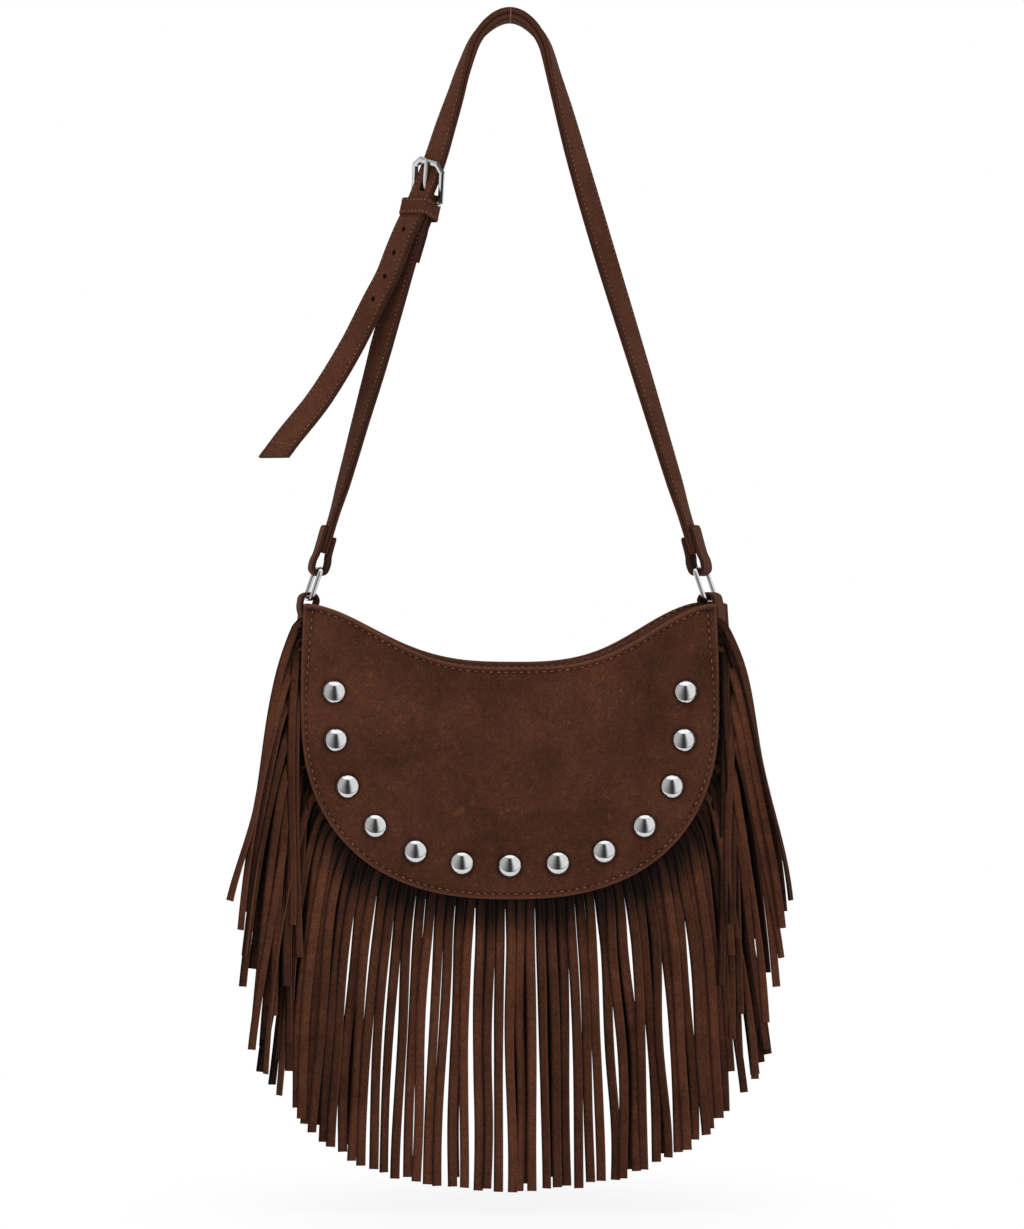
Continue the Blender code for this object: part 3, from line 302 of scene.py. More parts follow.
def outline_curve():
    """The half-moon edge from the left corner round the bottom to the right corner.

    Each side swells by a quarter sine over SIDE_DROP; below it runs a quarter of a
    superellipse of power OUTLINE_POWER.
    """
    drop = np.linspace(0.0, SIDE_DROP, 24, endpoint=False)
    swell = np.sin(0.5 * math.pi * drop / SIDE_DROP)
    tuck = PANEL_HALF_WIDTH - CORNER_HALF_WIDTH
    side = np.stack([-(CORNER_HALF_WIDTH + tuck * swell), CORNER_Z - drop], axis=1)
    angle = np.linspace(0.0, math.pi / 2, 240)
    root = 2.0 / OUTLINE_POWER
    quarter = np.stack([
        -PANEL_HALF_WIDTH * np.cos(angle).clip(0) ** root,
        CORNER_Z - SIDE_DROP - (PANEL_HEIGHT - SIDE_DROP) * np.sin(angle) ** root], axis=1)
    left = np.vstack([side, quarter])
    return resample(np.vstack([left, left[::-1][1:] * (-1.0, 1.0)]), 1201)


OUTLINE = outline_curve()
OUTLINE_LENGTH = float(along_of(OUTLINE)[-1])
OUTLINE_SHARES = np.linspace(0.0, 1.0, len(OUTLINE))
NORMALS = tangents(OUTLINE)[:, ::-1] * (1.0, -1.0)


def edge(s, offset=0.0):
    """Points of the outline at shares s of its length, moved outward by offset: (x, z)."""
    return read_at(s, OUTLINE_SHARES, OUTLINE) + offset * edge_normal(s)


def edge_normal(s):
    return unit(read_at(s, OUTLINE_SHARES, NORMALS))


def half_depth(z):
    """Half the bag's depth, from its narrow corners to its full bottom."""
    share = smoothstep((CORNER_Z - z) / DEPTH_REACH)
    return CORNER_HALF_DEPTH + (BOTTOM_HALF_DEPTH - CORNER_HALF_DEPTH) * share


def splayed(x, y, z):
    """x with the rear corners drawn outward, as far as the turned rings pull them."""
    turn = np.where(x < 0, RING_TURN["left"], RING_TURN["right"])
    pull = np.tan(np.radians(turn)) * np.clip(y + half_depth(z), 0.0, None)
    fade = 1.0 - smoothstep((CORNER_Z - BAG_LEG - z) / SPLAY_REACH)
    side = smoothstep(np.abs(x) / CORNER_HALF_WIDTH * 1.1 - 0.04)
    return x + np.sign(x) * pull * fade * side


def placed(x, y, z, lift=0.0):
    """Points at (x, y, z) with the corners' splay, then moved back by lift."""
    return np.stack([splayed(x, y, z), y + lift, z], -1)


# The hardware's axes and the straps' routes

def ring_axes(side):
    """A ring's place: its upper bar's middle, down its length, and along its bars."""
    turn, lean = math.radians(RING_TURN[side]), math.radians(RING_LEAN[side])
    sign = SIDES[side]
    across = np.array([sign * math.sin(turn), math.cos(turn), 0.0])
    down = square_to(np.array([sign * math.sin(lean), 0.0, -math.cos(lean)]), across)
    return np.array(RING_LOW[side]) - RING_LENGTH * down, down, across


def route_of(plan, middle):
    """A strap's route, turned BUCKLE_TURN further to the front about its middle point."""
    route = np.array(plan)
    route[:, 3] += BUCKLE_TURN * bell(np.arange(len(plan)) - middle, 3.0)
    return route


LONG_ROUTE = route_of(LONG_PLAN, BUCKLE_POINT)
SHORT_ROUTE = route_of(SHORT_PLAN, -1)


def tab_axes(side):
    """A corner's directions: up the strap, across the tab, and out of its face."""
    bar, _, across = ring_axes(side)
    route = LONG_ROUTE[0] if side == "right" else SHORT_ROUTE[-1]
    up = square_to(unit(route[:3] - bar), across)
    return bar, up, across, unit(np.cross(across, up)) * SIDES[side]


def strap_end(side):
    """Where a strap ends between the legs of its tab, as a route point."""
    bar, up, _, _ = tab_axes(side)
    return (*(bar + STRAP_END_LIFT * up), RING_TURN[side])


def facing(tangent, degrees):
    """A strap's face: square to it in the plane of the front, then turned to the front."""
    turn = np.radians(degrees)
    flat = unit(np.stack([tangent[:, 2], np.zeros(len(tangent)), -tangent[:, 0]], axis=1))
    outward = np.cos(turn)[:, None] * flat
    outward[:, 1] -= np.sin(turn)
    return outward


def settled(centre, outward, side):
    """The outward directions again, turned square to the tab's legs where they grip."""
    bar, up, _, out = tab_axes(side)
    share = 1.0 - smoothstep(((centre - bar) @ up - OUTER_LEG - GRIP_LIFT) / GRIP_FADE)
    share = (share * (np.abs(centre[:, 0] - bar[0]) < GRIP_REACH))[:, None]
    return unit((1 - share) * outward + share * out)


def strap_long_path():
    """The long strap's middle line, its outward direction and its tangent."""
    degree = 0.001
    route = np.vstack([strap_end("right"), LONG_ROUTE]) * (1, 1, 1, degree)
    fine = curve_through(route, 480)
    centre, tangent = fine[:, :3], tangents(fine[:, :3])
    outward = square_to(facing(tangent, fine[:, 3] / degree), tangent)
    return centre, settled(centre, outward, "right"), tangent


def buckle_axes():
    """The buckle's place: its origin on the long strap, down, outward and across."""
    centre, outward, tangent = strap_long_path()
    i = nearest(centre, LONG_ROUTE[BUCKLE_POINT, :3])
    down, out = tangent[i], outward[i]
    return centre[i] - BUCKLE_LIFT * down, down, out, np.cross(down, out)


def buckle_points():
    """The middles of the buckle's top bar and heel bar."""
    origin, down, out, _ = buckle_axes()
    half = 0.5 * math.sqrt(BAR_GAP**2 - (TOP_OUT + HEEL_IN) ** 2)
    return origin - half * down + TOP_OUT * out, origin + half * down - HEEL_IN * out


def frame_axes():
    """The middles of the frame's top bar and heel bar, its down, outward and across."""
    top, heel = buckle_points()
    down, across = unit(heel - top), buckle_axes()[3]
    return top, heel, down, unit(np.cross(across, down)), across


def prong_line():
    """The prong's straight stretch: where it leaves the heel bar, and its tip."""
    top, heel, down, out, _ = frame_axes()
    clear = 0.5 * FRAME_THICKNESS + GAP + 0.5 * PRONG_THICKNESS
    return heel + PRONG_EYE * out, top - PRONG_OVERHANG * down + clear * out


def fold_thickness(ahead):
    """The short strap's thickness, ahead of where its thinned end leaves the heel bar."""
    return FOLD_LEATHER + (STRAP_THICKNESS - FOLD_LEATHER) * smoothstep(ahead / FOLD_TAPER)


def fold_line():
    """The short strap's thinned end: its lap behind, then its turn round the heel bar."""
    _, heel = buckle_points()
    _, down, out, _ = buckle_axes()
    radius = HEEL_RADIUS + HEEL_PLAY + FOLD_LEATHER / 2
    start = heel + FOLD_START * down + radius * out
    run = SHORT_ROUTE[0, :3] - start
    lap = [start + share * run - (0.5 * fold_thickness(share * FOLD_LAP) + 2 * GAP + FOLD_LEATHER / 2) * out
           for share in (1.0, 0.75, 0.5, 0.32)]
    turn = [heel + radius * (-math.sin(a) * down - math.cos(a) * out)
            for a in np.radians((0, 36, 72, 108, 144, 180))]
    return curve_through(np.array([*lap, *turn, start]), 60)


# Surfaces

def grid_quads(rows, cols, wrap_rows=False, wrap_cols=False):
    """Index quads between neighbouring rows and columns of a grid."""
    i, j = np.meshgrid(np.arange(rows if wrap_rows else rows - 1),
                       np.arange(cols if wrap_cols else cols - 1), indexing="ij")
    k, m = (i + 1) % rows, (j + 1) % cols
    return np.stack([i * cols + j, i * cols + m, k * cols + m, k * cols + j], -1).reshape(-1, 4)


def sweep(rings, closed=False, wear=0.0, shade_and_tone=0.0):
    """Surface through rings of points (rows x around x 3); open ends are capped."""
    rings = np.asarray(rings, float)
    rows, around = rings.shape[:2]
    faces = grid_quads(rows, around, closed, True).tolist()
    if not closed:
        faces += [list(range(around)), list(range(rows * around - 1, (rows - 1) * around - 1, -1))]
    wear, shade_and_tone = (np.broadcast_to(v, (rows, around)).astype(float).reshape(-1) for v in (wear, shade_and_tone))
    return rings.reshape(-1, 3), faces, wear, shade_and_tone


def carried(centre, side, out, section):
    """Rings of a section's (across, out) points carried along a line."""
    side, out = (np.broadcast_to(v, centre.shape)[:, None] for v in (side, out))
    return centre[:, None] + section[..., :1] * side + section[..., 1:2] * out


def round_section(radius, count):
    a = round_angles(count)
    return radius * np.stack([np.cos(a), np.sin(a)], 1)


def mirrored(half):
    """A section's rows (across, out, wear, shade_and_tone) and the same turned half round."""
    return np.array(half + [(-x, -y, *rest) for x, y, *rest in half])


def block(middle, ahead, up, across, shape, wide):
    """A closed block: a flat shape of (ahead, up) points from -wide to wide across."""
    return sweep([[middle + a * ahead + b * up + sign * wide * across for a, b in shape] for sign in (-1, 1)])


def rim_of(rows, cols):
    """The indices round a grid's rim."""
    return np.concatenate([
        np.arange(cols), cols * np.arange(1, rows) + cols - 1,
        cols * (rows - 1) + np.arange(cols - 2, -1, -1), cols * np.arange(rows - 2, 0, -1)])


def two_sided(a, b, rim, between=(), closed=True):
    """Points and faces of two grids joined along a rim, through rows of points between."""
    rows, cols = a.shape[:2]
    count, loop = rows * cols, len(rim)
    quads = grid_quads(rows, cols)
    faces = [quads, quads[:, ::-1] + count]
    lines = [rim, *(2 * count + loop * k + np.arange(loop) for k in range(len(between))), rim + count]
    for p, q in zip(lines[:-1], lines[1:]):
        strip = np.stack([p, np.roll(p, -1), np.roll(q, -1), q], 1)
        faces.append(strip if closed else strip[:-1])
    return np.vstack([a.reshape(-1, 3), b.reshape(-1, 3), *between]), np.vstack(faces).tolist()


def shell(a, b, shade_and_tone=0.0):
    """Two grids of points joined round their edges into a closed sheet, worn at its rim."""
    rim, count = rim_of(*a.shape[:2]), a[..., 0].size
    worn = np.zeros(2 * count)
    worn[rim] = worn[rim + count] = 0.5
    return *two_sided(a, b, rim), worn, np.full(2 * count, shade_and_tone)


def join(parts):
    """Several (points, faces, wear, shade_and_tone) parts as one."""
    faces, first = [], 0
    for part in parts:
        faces += [[k + first for k in face] for face in part[1]]
        first += len(part[0])
    points, wear, shade_and_tone = (np.concatenate([part[k] for part in parts]) for k in (0, 2, 3))
    return points, faces, wear, shade_and_tone


def linked(name, data):
    obj = bpy.data.objects.new(name, data)
    bpy.context.scene.collection.objects.link(obj)
    return obj


def mesh_of(name, points, faces):
    """A mesh whose faces all turn outward."""
    mesh = bpy.data.meshes.new(name)
    mesh.from_pydata(points, [], faces)
    bm = bmesh.new()
    bm.from_mesh(mesh)
    bmesh.ops.recalc_face_normals(bm, faces=bm.faces)
    bm.to_mesh(mesh)
    bm.free()
    return mesh


def add_piece(name, part, look, nodes=(), body="bag", angle=50.0):
    """A mesh object from a part, riding on a body and standing for CAD nodes."""
    points, faces, wear, shade_and_tone = part
    mesh = mesh_of(name, points, faces)
    for key, values in (("wear", wear), ("shade_and_tone", shade_and_tone)):
        mesh.attributes.new(key, "FLOAT", "POINT").data.foreach_set("value", values.astype(np.float32))
    mesh.materials.append(look[0])
    mesh.shade_smooth()
    mesh.set_sharp_from_angle(angle=math.radians(angle))
    obj = linked(name, mesh)
    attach(obj, body)
    if nodes:
        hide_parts(*nodes)
    return obj


def stitches_on(line, normal, stitch):
    """Threads at an even pitch along a line: short bowed tubes with six sides.

    Along s from -1 to 1 a thread's middle is point + s*length/2*along
    + normal*width*(0.55 - 0.75*s^2) and its radius is width/2*sqrt(1 - 0.75*s^2).
    """
    pitch, length, wide = stitch
    run = along_of(line)
    at = np.arange(0.5 * pitch, run[-1] - 0.3 * pitch, pitch)
    points = read_at(at, run, line)
    along = unit(read_at(at, run, tangents(line)))
    up = square_to(read_at(at, run, np.broadcast_to(normal, line.shape)), along)
    side, up = np.cross(along, up)[:, None, None], up[:, None, None]
    rows, around = 5, 6
    s = np.linspace(-1.0, 1.0, rows)[:, None, None]
    middle = points[:, None, None] + s * 0.5 * length * along[:, None, None]
    middle = middle + up * (wide * (0.55 - 0.75 * s**2))
    a = round_angles(around)[:, None]
    rings = middle + 0.5 * wide * np.sqrt(1.0 - 0.75 * s**2) * (np.cos(a) * side + np.sin(a) * up)
    first = (rows * around * np.arange(len(at)))[:, None, None]
    caps = np.array([np.arange(around), (rows - 1) * around + np.arange(around)[::-1]])
    faces = (grid_quads(rows, around, False, True)[None] + first).reshape(-1, 4).tolist()
    faces += (caps[None] + first).reshape(-1, around).tolist()
    plain = np.zeros(len(at) * rows * around)
    return rings.reshape(-1, 3), faces, plain, plain


# Materials

class Nodes:
    """Short calls on a node tree; a value is a socket, a number or a colour."""

    def __init__(self, tree):
        self.tree = tree
        self.place = self.add("TexCoord")

    def put(self, node, inputs):
        for key, value in inputs.items():
            socket = node.inputs[key]
            if hasattr(value, "is_output"):
                self.tree.links.new(value, socket)
            elif socket.type == "RGBA":
                socket.default_value = (*value, 1.0)
            else:
                socket.default_value = value

    def add(self, kind, inputs=None, **settings):
        node = self.tree.nodes.new("ShaderNode" + kind)
        for key, value in settings.items():
            setattr(node, key, value)
        self.put(node, inputs or {})
        return node

    def math(self, operation, *values):
        """Math nodes taking the values one after another."""
        last = values[0]
        for value in values[1:]:
            last = self.add("Math", {0: last, 1: value}, operation=operation).outputs[0]
        return last

    def noise(self, scale, detail, rough, distortion):
        return self.add("TexNoise", {"Vector": self.place.outputs["Object"], "Scale": scale, "Detail": detail,
                                     "Roughness": rough, "Distortion": distortion}).outputs["Fac"]

    def stretch(self, value, low, high, to_low=0.0, to_high=1.0, kind="LINEAR"):
        return self.add("MapRange", {"Value": value, "From Min": low, "From Max": high, "To Min": to_low,
                                     "To Max": to_high}, interpolation_type=kind).outputs["Result"]

    def mix(self, factor, a, b):
        return self.add("Mix", {0: factor, 6: a, 7: b}, data_type="RGBA").outputs[2]

    def mix_shader(self, factor, a, b):
        return self.add("MixShader", {0: factor, 1: a, 2: b}).outputs[0]

    def bump(self, height, distance, strength, normal=None):
        inputs = {"Height": height, "Distance": distance, "Strength": strength}
        if normal is not None:
            inputs["Normal"] = normal
        return self.add("Bump", inputs).outputs["Normal"]

    def attribute(self, name):
        return self.add("Attribute", attribute_name=name).outputs["Fac"]

    def shade(self, inputs):
        """Set the material's own shader."""
        shader = self.tree.nodes["Principled BSDF"]
        self.put(shader, inputs)
        return shader.outputs[0]


def new_material(name):
    mat = bpy.data.materials.new(name)
    mat.use_nodes = True
    return mat, Nodes(mat.node_tree)


def suede_look(slot, name, dark, mid, light, worn, fibre=430.0, relief=1.0, curliness=0.62, sheen=0.16):
    """Brushed suede: short curled fibres, patches of turned nap and paler worn edges, darkened by each
    point's shade_and_tone, mostly painted light and shade.

    The curls' lines are where a noise crosses any of five even levels.
    """
    mat, n = new_material(name)
    fibres = n.noise(fibre, 3.0, 0.62, 1.6)
    curls = n.noise(fibre * 0.42, 2.0, 0.55, 3.2)
    hair = n.noise(fibre * 0.52, 0.0, 0.5, 1.2)
    broken = n.noise(fibre * 0.36, 1.0, 0.5, 0.4)
    nap = n.stretch(n.noise(38.0, 4.0, 0.62, 0.6), 0.34, 0.68)
    patches = n.stretch(n.noise(11.0, 2.0, 0.5, 0.3), 0.42, 0.66, 0.0, 0.45)
    away = n.math("PINGPONG", n.math("MULTIPLY", hair, 5.0), 0.5)
    lines = n.math("MULTIPLY", n.stretch(away, 0.0, 0.28, 1.0, 0.0), n.stretch(broken, 0.36, 0.48))
    # shade_and_tone scales the colour: mostly painted light and shade, with random tone on the strands
    bright = n.math("MULTIPLY", n.stretch(fibres, 0.36, 0.68, 0.88, 1.12),
                    n.stretch(curls, 0.40, 0.62, 0.86, 1.16),
                    n.stretch(n.attribute("shade_and_tone"), -3.0, 1.0, 0.015, 1.33),
                    n.stretch(lines, 0.0, 1.0, 1.0, 1.0 + curliness))
    colour = n.mix(patches, n.mix(nap, dark, mid), light)
    toned = n.add("VectorMath", {0: colour, "Scale": bright}, operation="SCALE").outputs[0]
    height = n.bump(curls, 0.0005, 0.45 * relief)
    height = n.bump(lines, 0.00045, 0.9 * relief, height)
    n.shade({"Base Color": n.mix(n.attribute("wear"), toned, worn),
             "Normal": n.bump(fibres, 0.00025, 0.55 * relief, height),
             "Roughness": 0.92, "Specular IOR Level": 0.18, "Sheen Weight": sheen,
             "Sheen Roughness": 0.45, "Sheen Tint": (0.62, 0.40, 0.30)})
    return mat, slot


def thread_look():
    """Waxed thread, paler than the suede."""
    mat, n = new_material("stitch_thread")
    shade_and_tone = n.stretch(n.noise(260.0, 2.0, 0.5, 0.0), 0.35, 0.65)
    n.shade({"Base Color": n.mix(shade_and_tone, (0.155, 0.061, 0.029), (0.330, 0.145, 0.071)), "Roughness": 0.6})
    return mat, "strap_leather"


def metal_look():
    """Polished plated metal with the faintest haze and unevenness."""
    mat, n = new_material("polished_plate")
    haze = n.noise(160.0, 3.0, 0.6, 0.2)
    n.shade({"Base Color": n.mix(n.stretch(haze, 0.3, 0.7), (0.62, 0.62, 0.63), (0.72, 0.72, 0.73)),
             "Roughness": n.stretch(haze, 0.3, 0.7, 0.09, 0.14), "Metallic": 1.0})
    return mat, "polished_steel"


def lining_look():
    """A plain woven lining: crossed threads at about one a millimetre, slightly uneven."""
    mat, n = new_material("woven_lining")
    woven = n.math("MAXIMUM", *(
        n.add("TexWave", {"Vector": n.place.outputs["Object"], "Scale": 320.0, "Distortion": 0.6},
              bands_direction=direction).outputs["Fac"] for direction in "XZ"))
    n.shade({"Base Color": n.mix(woven, (0.030, 0.015, 0.010), (0.062, 0.032, 0.022)),
             "Normal": n.bump(woven, 0.0002, 0.5), "Roughness": 0.85})
    return mat, "lining_cloth"


BROWNS = ((0.042, 0.0130, 0.0062), (0.071, 0.0228, 0.0110), (0.106, 0.0355, 0.0175))
SUEDE = suede_look("suede", "panel_suede", *BROWNS, (0.128, 0.046, 0.0250))
STRAND_SUEDE = suede_look("suede", "strand_suede", *BROWNS, (0.135, 0.050, 0.0275), 380.0, 0.8, 0.15, 0.04)
STRAP_SUEDE = suede_look(
    "strap_leather", "strap_suede", (0.060, 0.0190, 0.0094), (0.083, 0.0276, 0.0140),
    (0.108, 0.0385, 0.0205), (0.128, 0.0485, 0.0272), 520.0, 0.6, 0.15, 0.02)
# Paler than the panels' suede: partly the facing's own leather, partly painted light, lightened where the
# mouth shades it.
FACING = suede_look(
    "facing_leather", "facing_leather", (0.080, 0.031, 0.019), (0.115, 0.046, 0.029),
    (0.145, 0.060, 0.038), (0.160, 0.068, 0.044), 700.0, 0.35, 0.2)
THREAD = thread_look()
METAL = metal_look()
LINING = lining_look()


# The half-moon panels

def dipped(x, reach, power, level, depth):
    """A mouth's edge: level less depth*cos(pi/2*share^power)^2, share being |x|/reach."""
    share = np.clip(np.abs(x) / reach, 0.0, 1.0)
    return level - depth * np.cos(0.5 * np.pi * share**power) ** 2


def front_mouth(x):
    """Height of the front panel's mouth edge, steeper on the right."""
    return dipped(x, CORNER_HALF_WIDTH, np.where(x < 0, 1.42, 1.62), CORNER_Z, MOUTH_DIP)


def back_mouth(x):
    """Height of the back panel's mouth edge: it leans, higher on the right."""
    level = CORNER_Z + np.interp(x, (-0.134, 0.134), (-0.003, 0.0046))
    return dipped(x, 0.136, 1.5, level, level + 0.4480) + 0.0048 * bell(x - 0.098, 0.034)


def lining_mouth(x):
    return dipped(x, 0.1437, 1.5, CORNER_Z, MOUTH_DIP)


# Front and back: side, depth of the cover's middle beyond half_depth, mouth edge
COVERS = {"front": (-1, FRONT_MID, front_mouth), "back": (1, BACK_MID, back_mouth)}


def steps_from_edge(length, middle):
    """Shares from 0 to 1: fine steps near both ends, even ones of about middle between."""
    near = np.concatenate([[0.0], np.cumsum(EDGE_STEPS)]) / length
    count = max(2, int(round((1.0 - 2 * near[-1]) * length / middle)))
    return np.concatenate([near[:-1], np.linspace(near[-1], 1.0 - near[-1], count), 1.0 - near[:-1][::-1]])


def half_moon(u, v, inset, mouth, top_drop=0.0):
    """Coons patch of the half-moon: the four edges blended, as x, z and a bulge of 0 to 1."""
    start = top_drop / OUTLINE_LENGTH
    left = edge(start + (RIM_SHARE - start) * v, -inset)
    right = left * (-1.0, 1.0)
    bottom = edge(RIM_SHARE + (1.0 - 2 * RIM_SHARE) * u, -inset)
    top_x = right[0, 0] * (2 * u - 1)
    lift = mouth(top_x) - inset - top_drop
    lift += (left[0, 1] - lift[0]) * (1 - u) ** 6 + (right[0, 1] - lift[-1]) * u**6
    top = np.stack([top_x, lift], axis=1)
    U, V = u[None, :, None], v[:, None, None]
    grid = (1 - V) * top[None] + V * bottom[None] + (1 - U) * left[:, None] + U * right[:, None]
    grid -= (1 - V) * ((1 - U) * top[0] + U * top[-1]) + V * ((1 - U) * bottom[0] + U * bottom[-1])
    bulge = np.sin(np.pi * u)[None, :] * np.cos(0.5 * np.pi * v)[:, None] ** 0.8
    return grid[..., 0], grid[..., 1], bulge


def nearest_in(points, x, z, chunk=200):
    """How far each place (x, z) lies from the nearest of some points, and that one's index."""
    flat = np.stack([x.ravel(), z.ravel()], 1)
    found = []
    for k in range(0, len(flat), chunk):
        away = ((flat[k:k + chunk, None] - points[None]) ** 2).sum(2)
        found.append((np.sqrt(away.min(1)), away.argmin(1)))
    return (np.concatenate(column).reshape(x.shape) for column in zip(*found))


def seam_inset(z):
    """How far the stitch line lies inside the panel's side edge, wider near the corner."""
    return (3.6 + 2.6 * (1.0 - smoothstep((CORNER_Z - z) / 0.075))) * MM


def mouth_line(mouth, count):
    x = np.linspace(-CORNER_HALF_WIDTH, CORNER_HALF_WIDTH, count)
    return np.stack([x, mouth(x)], 1)


def below(line, drop):
    """A mouth line moved inward, square to itself."""
    return line + drop * tangents(line)[:, ::-1] * (1.0, -1.0)


def soft_waves(x, z):
    """Slow uneven swells of the suede: three crossed sines, up to 0.6 mm."""
    return 0.0002 * (np.sin(46 * x + 21 * z + 0.7) + np.sin(31 * x - 57 * z + 2.1)
                     + np.sin(83 * x + 64 * z + 4.0))


def stud_places():
    """Where the studs sit in the panel's plane: an even row along a line inside its edge."""
    row = edge(OUTLINE_SHARES, -STUD_INSET)
    shares = (np.arange(STUD_COUNT) - (STUD_COUNT - 1) / 2) * STUD_PITCH / (along_of(row)[-1] / 2)
    return resample(row, 1201)[np.round(600 * (1.0 + shares)).astype(int)]


def cover_part(side, offset, mouth):
    """A panel as a closed sheet: outer face, rounded rim and inner face.

    The outer face rises 0.85 mm in a bell near its rim, sinks 0.75 mm in one along the
    seam and swells by soft_waves; along both seams it is painted darker as shade. The front
    is pressed in round each stud and painted darker there as shade.
    """
    step = (1.4 if side < 0 else 2.6) * MM
    u, v = steps_from_edge(2 * PANEL_HALF_WIDTH, step), steps_from_edge(PANEL_RUN, step)
    half = 0.5 * PANEL_LEATHER
    x, z, bulge = half_moon(u, v, half, mouth)
    rim, _ = nearest_in(OUTLINE, x, z)
    lip, _ = nearest_in(mouth_line(mouth, 700), x, z)
    height, dark = np.zeros_like(x), np.zeros_like(x)
    for away, seam in ((rim, seam_inset(z)), (lip, MOUTH_SEAM)):
        height += 0.85 * MM * bell(away - 1.5 * MM, 1.3 * MM) - 0.75 * MM * bell(away - seam, 0.8 * MM)
        # painted shade in the stitch groove
        dark -= 1.3 * bell(away - seam, 0.9 * MM)
    height += soft_waves(x, z) * np.clip(np.minimum(rim, lip) / 0.02, 0.0, 1.0)
    if side < 0:
        away, _ = nearest_in(stud_places(), x, z)
        dent_and_shade = bell(away - STUD_RADIUS, 1.5 * MM)
        height -= 0.35 * MM * dent_and_shade
        # painted shade round the stud
        dark -= 1.5 * dent_and_shade
    y = side * (half_depth(z) + offset + PILLOW * bulge)
    outer, inner = placed(x, y, z, side * (half + height)), placed(x, y, z, -side * half)
    ring = rim_of(*x.shape)
    outer_rim, inner_rim = outer.reshape(-1, 3)[ring], inner.reshape(-1, 3)[ring]
    mid, across = 0.5 * (outer_rim + inner_rim), 0.5 * (outer_rim - inner_rim)
    tangent = tangents_round(mid, 2)
    out = unit(np.stack([tangent[:, 2], np.zeros(len(ring)), -tangent[:, 0]], 1))
    if ((mid + out - mid.mean(0)) ** 2).sum() < ((mid - out - mid.mean(0)) ** 2).sum():
        out = -out
    rims = [mid + np.cos(a) * across + np.sin(a) * half * out for a in np.linspace(0.0, np.pi, 7)[1:-1]]
    worn = 0.80 * bell(np.minimum(rim, lip), 1.6 * MM).ravel()
    count = len(ring) * len(rims)
    return (*two_sided(outer, inner, ring, rims), np.concatenate([worn, worn, np.full(count, 0.85)]),
            np.concatenate([np.clip(dark, -1.6, 0).ravel(), np.zeros(x.size + count)]))


def surface_y(x, z, side, offset, mouth):
    """Depth of a cover's outer face at (x, z), read from its own grid by nearest point."""
    gx, gz, bulge = half_moon(np.linspace(0.0, 1.0, 200), np.linspace(0.0, 1.0, 140),
                          0.5 * PANEL_LEATHER, mouth)
    _, near = nearest_in(np.stack([gx.ravel(), gz.ravel()], 1), x, z)
    return side * (half_depth(z) + offset + PILLOW * bulge.ravel()[near] + 0.5 * PANEL_LEATHER)


def cover_stitches(line, cover, face, sink):
    """Threads along a line of (x, z), sunk below a cover's outer face."""
    x, z = line.T
    y = surface_y(x, z, *cover) - cover[0] * sink
    return stitches_on(placed(x, y, z), np.array([0.0, face, 0.0]), PANEL_STITCH)


def facing_part(side, offset, mouth):
    """The inner strip of a cover's mouth: a thin closed sheet just inside the cover."""
    u = np.linspace(0.012, 0.988, 120)
    v = np.concatenate([np.linspace(0.004, 0.03, 5)[:-1], np.linspace(0.03, FACING_SHARE, 12)])
    x, z, bulge = half_moon(u, v, 0.5 * PANEL_LEATHER, mouth)
    half = 0.5 * FACING_LEATHER
    y = side * (half_depth(z) + offset - (PANEL_LEATHER / 2 + GAP + half) + PILLOW * bulge)
    return shell(placed(x, y, z, -side * half), placed(x, y, z, side * half))


def make_covers():
    for name, cover in COVERS.items():
        add_piece(f"{name}_cover", cover_part(*cover), SUEDE, [f"{name}_panel"])
    seams = []
    for cover in COVERS.values():
        s = np.linspace(0.004, 0.996, 900)
        for line in (edge(s) - seam_inset(edge(s)[:, 1])[:, None] * edge_normal(s),
                     below(mouth_line(cover[2], 600)[22:-22], MOUTH_SEAM)):
            seams.append(cover_stitches(line, cover, cover[0], 0.35 * MM))
    for cover in COVERS.values():
        deep = PANEL_LEATHER + GAP + FACING_LEATHER - 0.15 * MM
        line = below(mouth_line(cover[2], 600)[30:-30], 3.6 * MM)
        seams.append(cover_stitches(line, cover, -cover[0], deep))
    add_piece("cover_seams", join(seams), THREAD)
    for name, cover in COVERS.items():
        add_piece(f"{name}_mouth_facing", facing_part(*cover), FACING, [f"{name}_facing"])


def make_side_band():
    """Gusset: a channel section carried along the outline, its web bowed in between the seams.

    Across the web, the distance from the outline is the inset plus 1.6 mm times a cosine.
    """
    start = GUSSET_END_DROP / OUTLINE_LENGTH
    s = np.linspace(start, 1.0 - start, 260)
    base, normal = edge(s), edge_normal(s)
    t = GUSSET_LEATHER
    across = np.linspace(-1.0, 1.0, 17)
    bow = 1.6 * MM * np.cos(0.5 * np.pi * across)
    deep = -GUSSET_INSET - FLANGE
    shape = [(-GUSSET_INSET - b, a, 0.0) for a, b in zip(across, bow)] + [(deep, 1.0, 0.0), (deep, 1.0, t)]
    shape += [(-GUSSET_INSET - t - b, a, t) for a, b in zip(across[::-1], bow[::-1])]
    shape += [(deep, -1.0, t), (deep, -1.0, 0.0)]
    rings = []
    for offset, share, inside in shape:
        x, z = (base + offset * normal).T
        rings.append(placed(x, share * (half_depth(base[:, 1]) - inside * abs(share)), z))
    wear = np.zeros(len(shape))
    wear[[0, 16]] = 0.5
    add_piece("side_band", sweep(np.array(rings).transpose(1, 0, 2), wear=wear), SUEDE, ["gusset"])


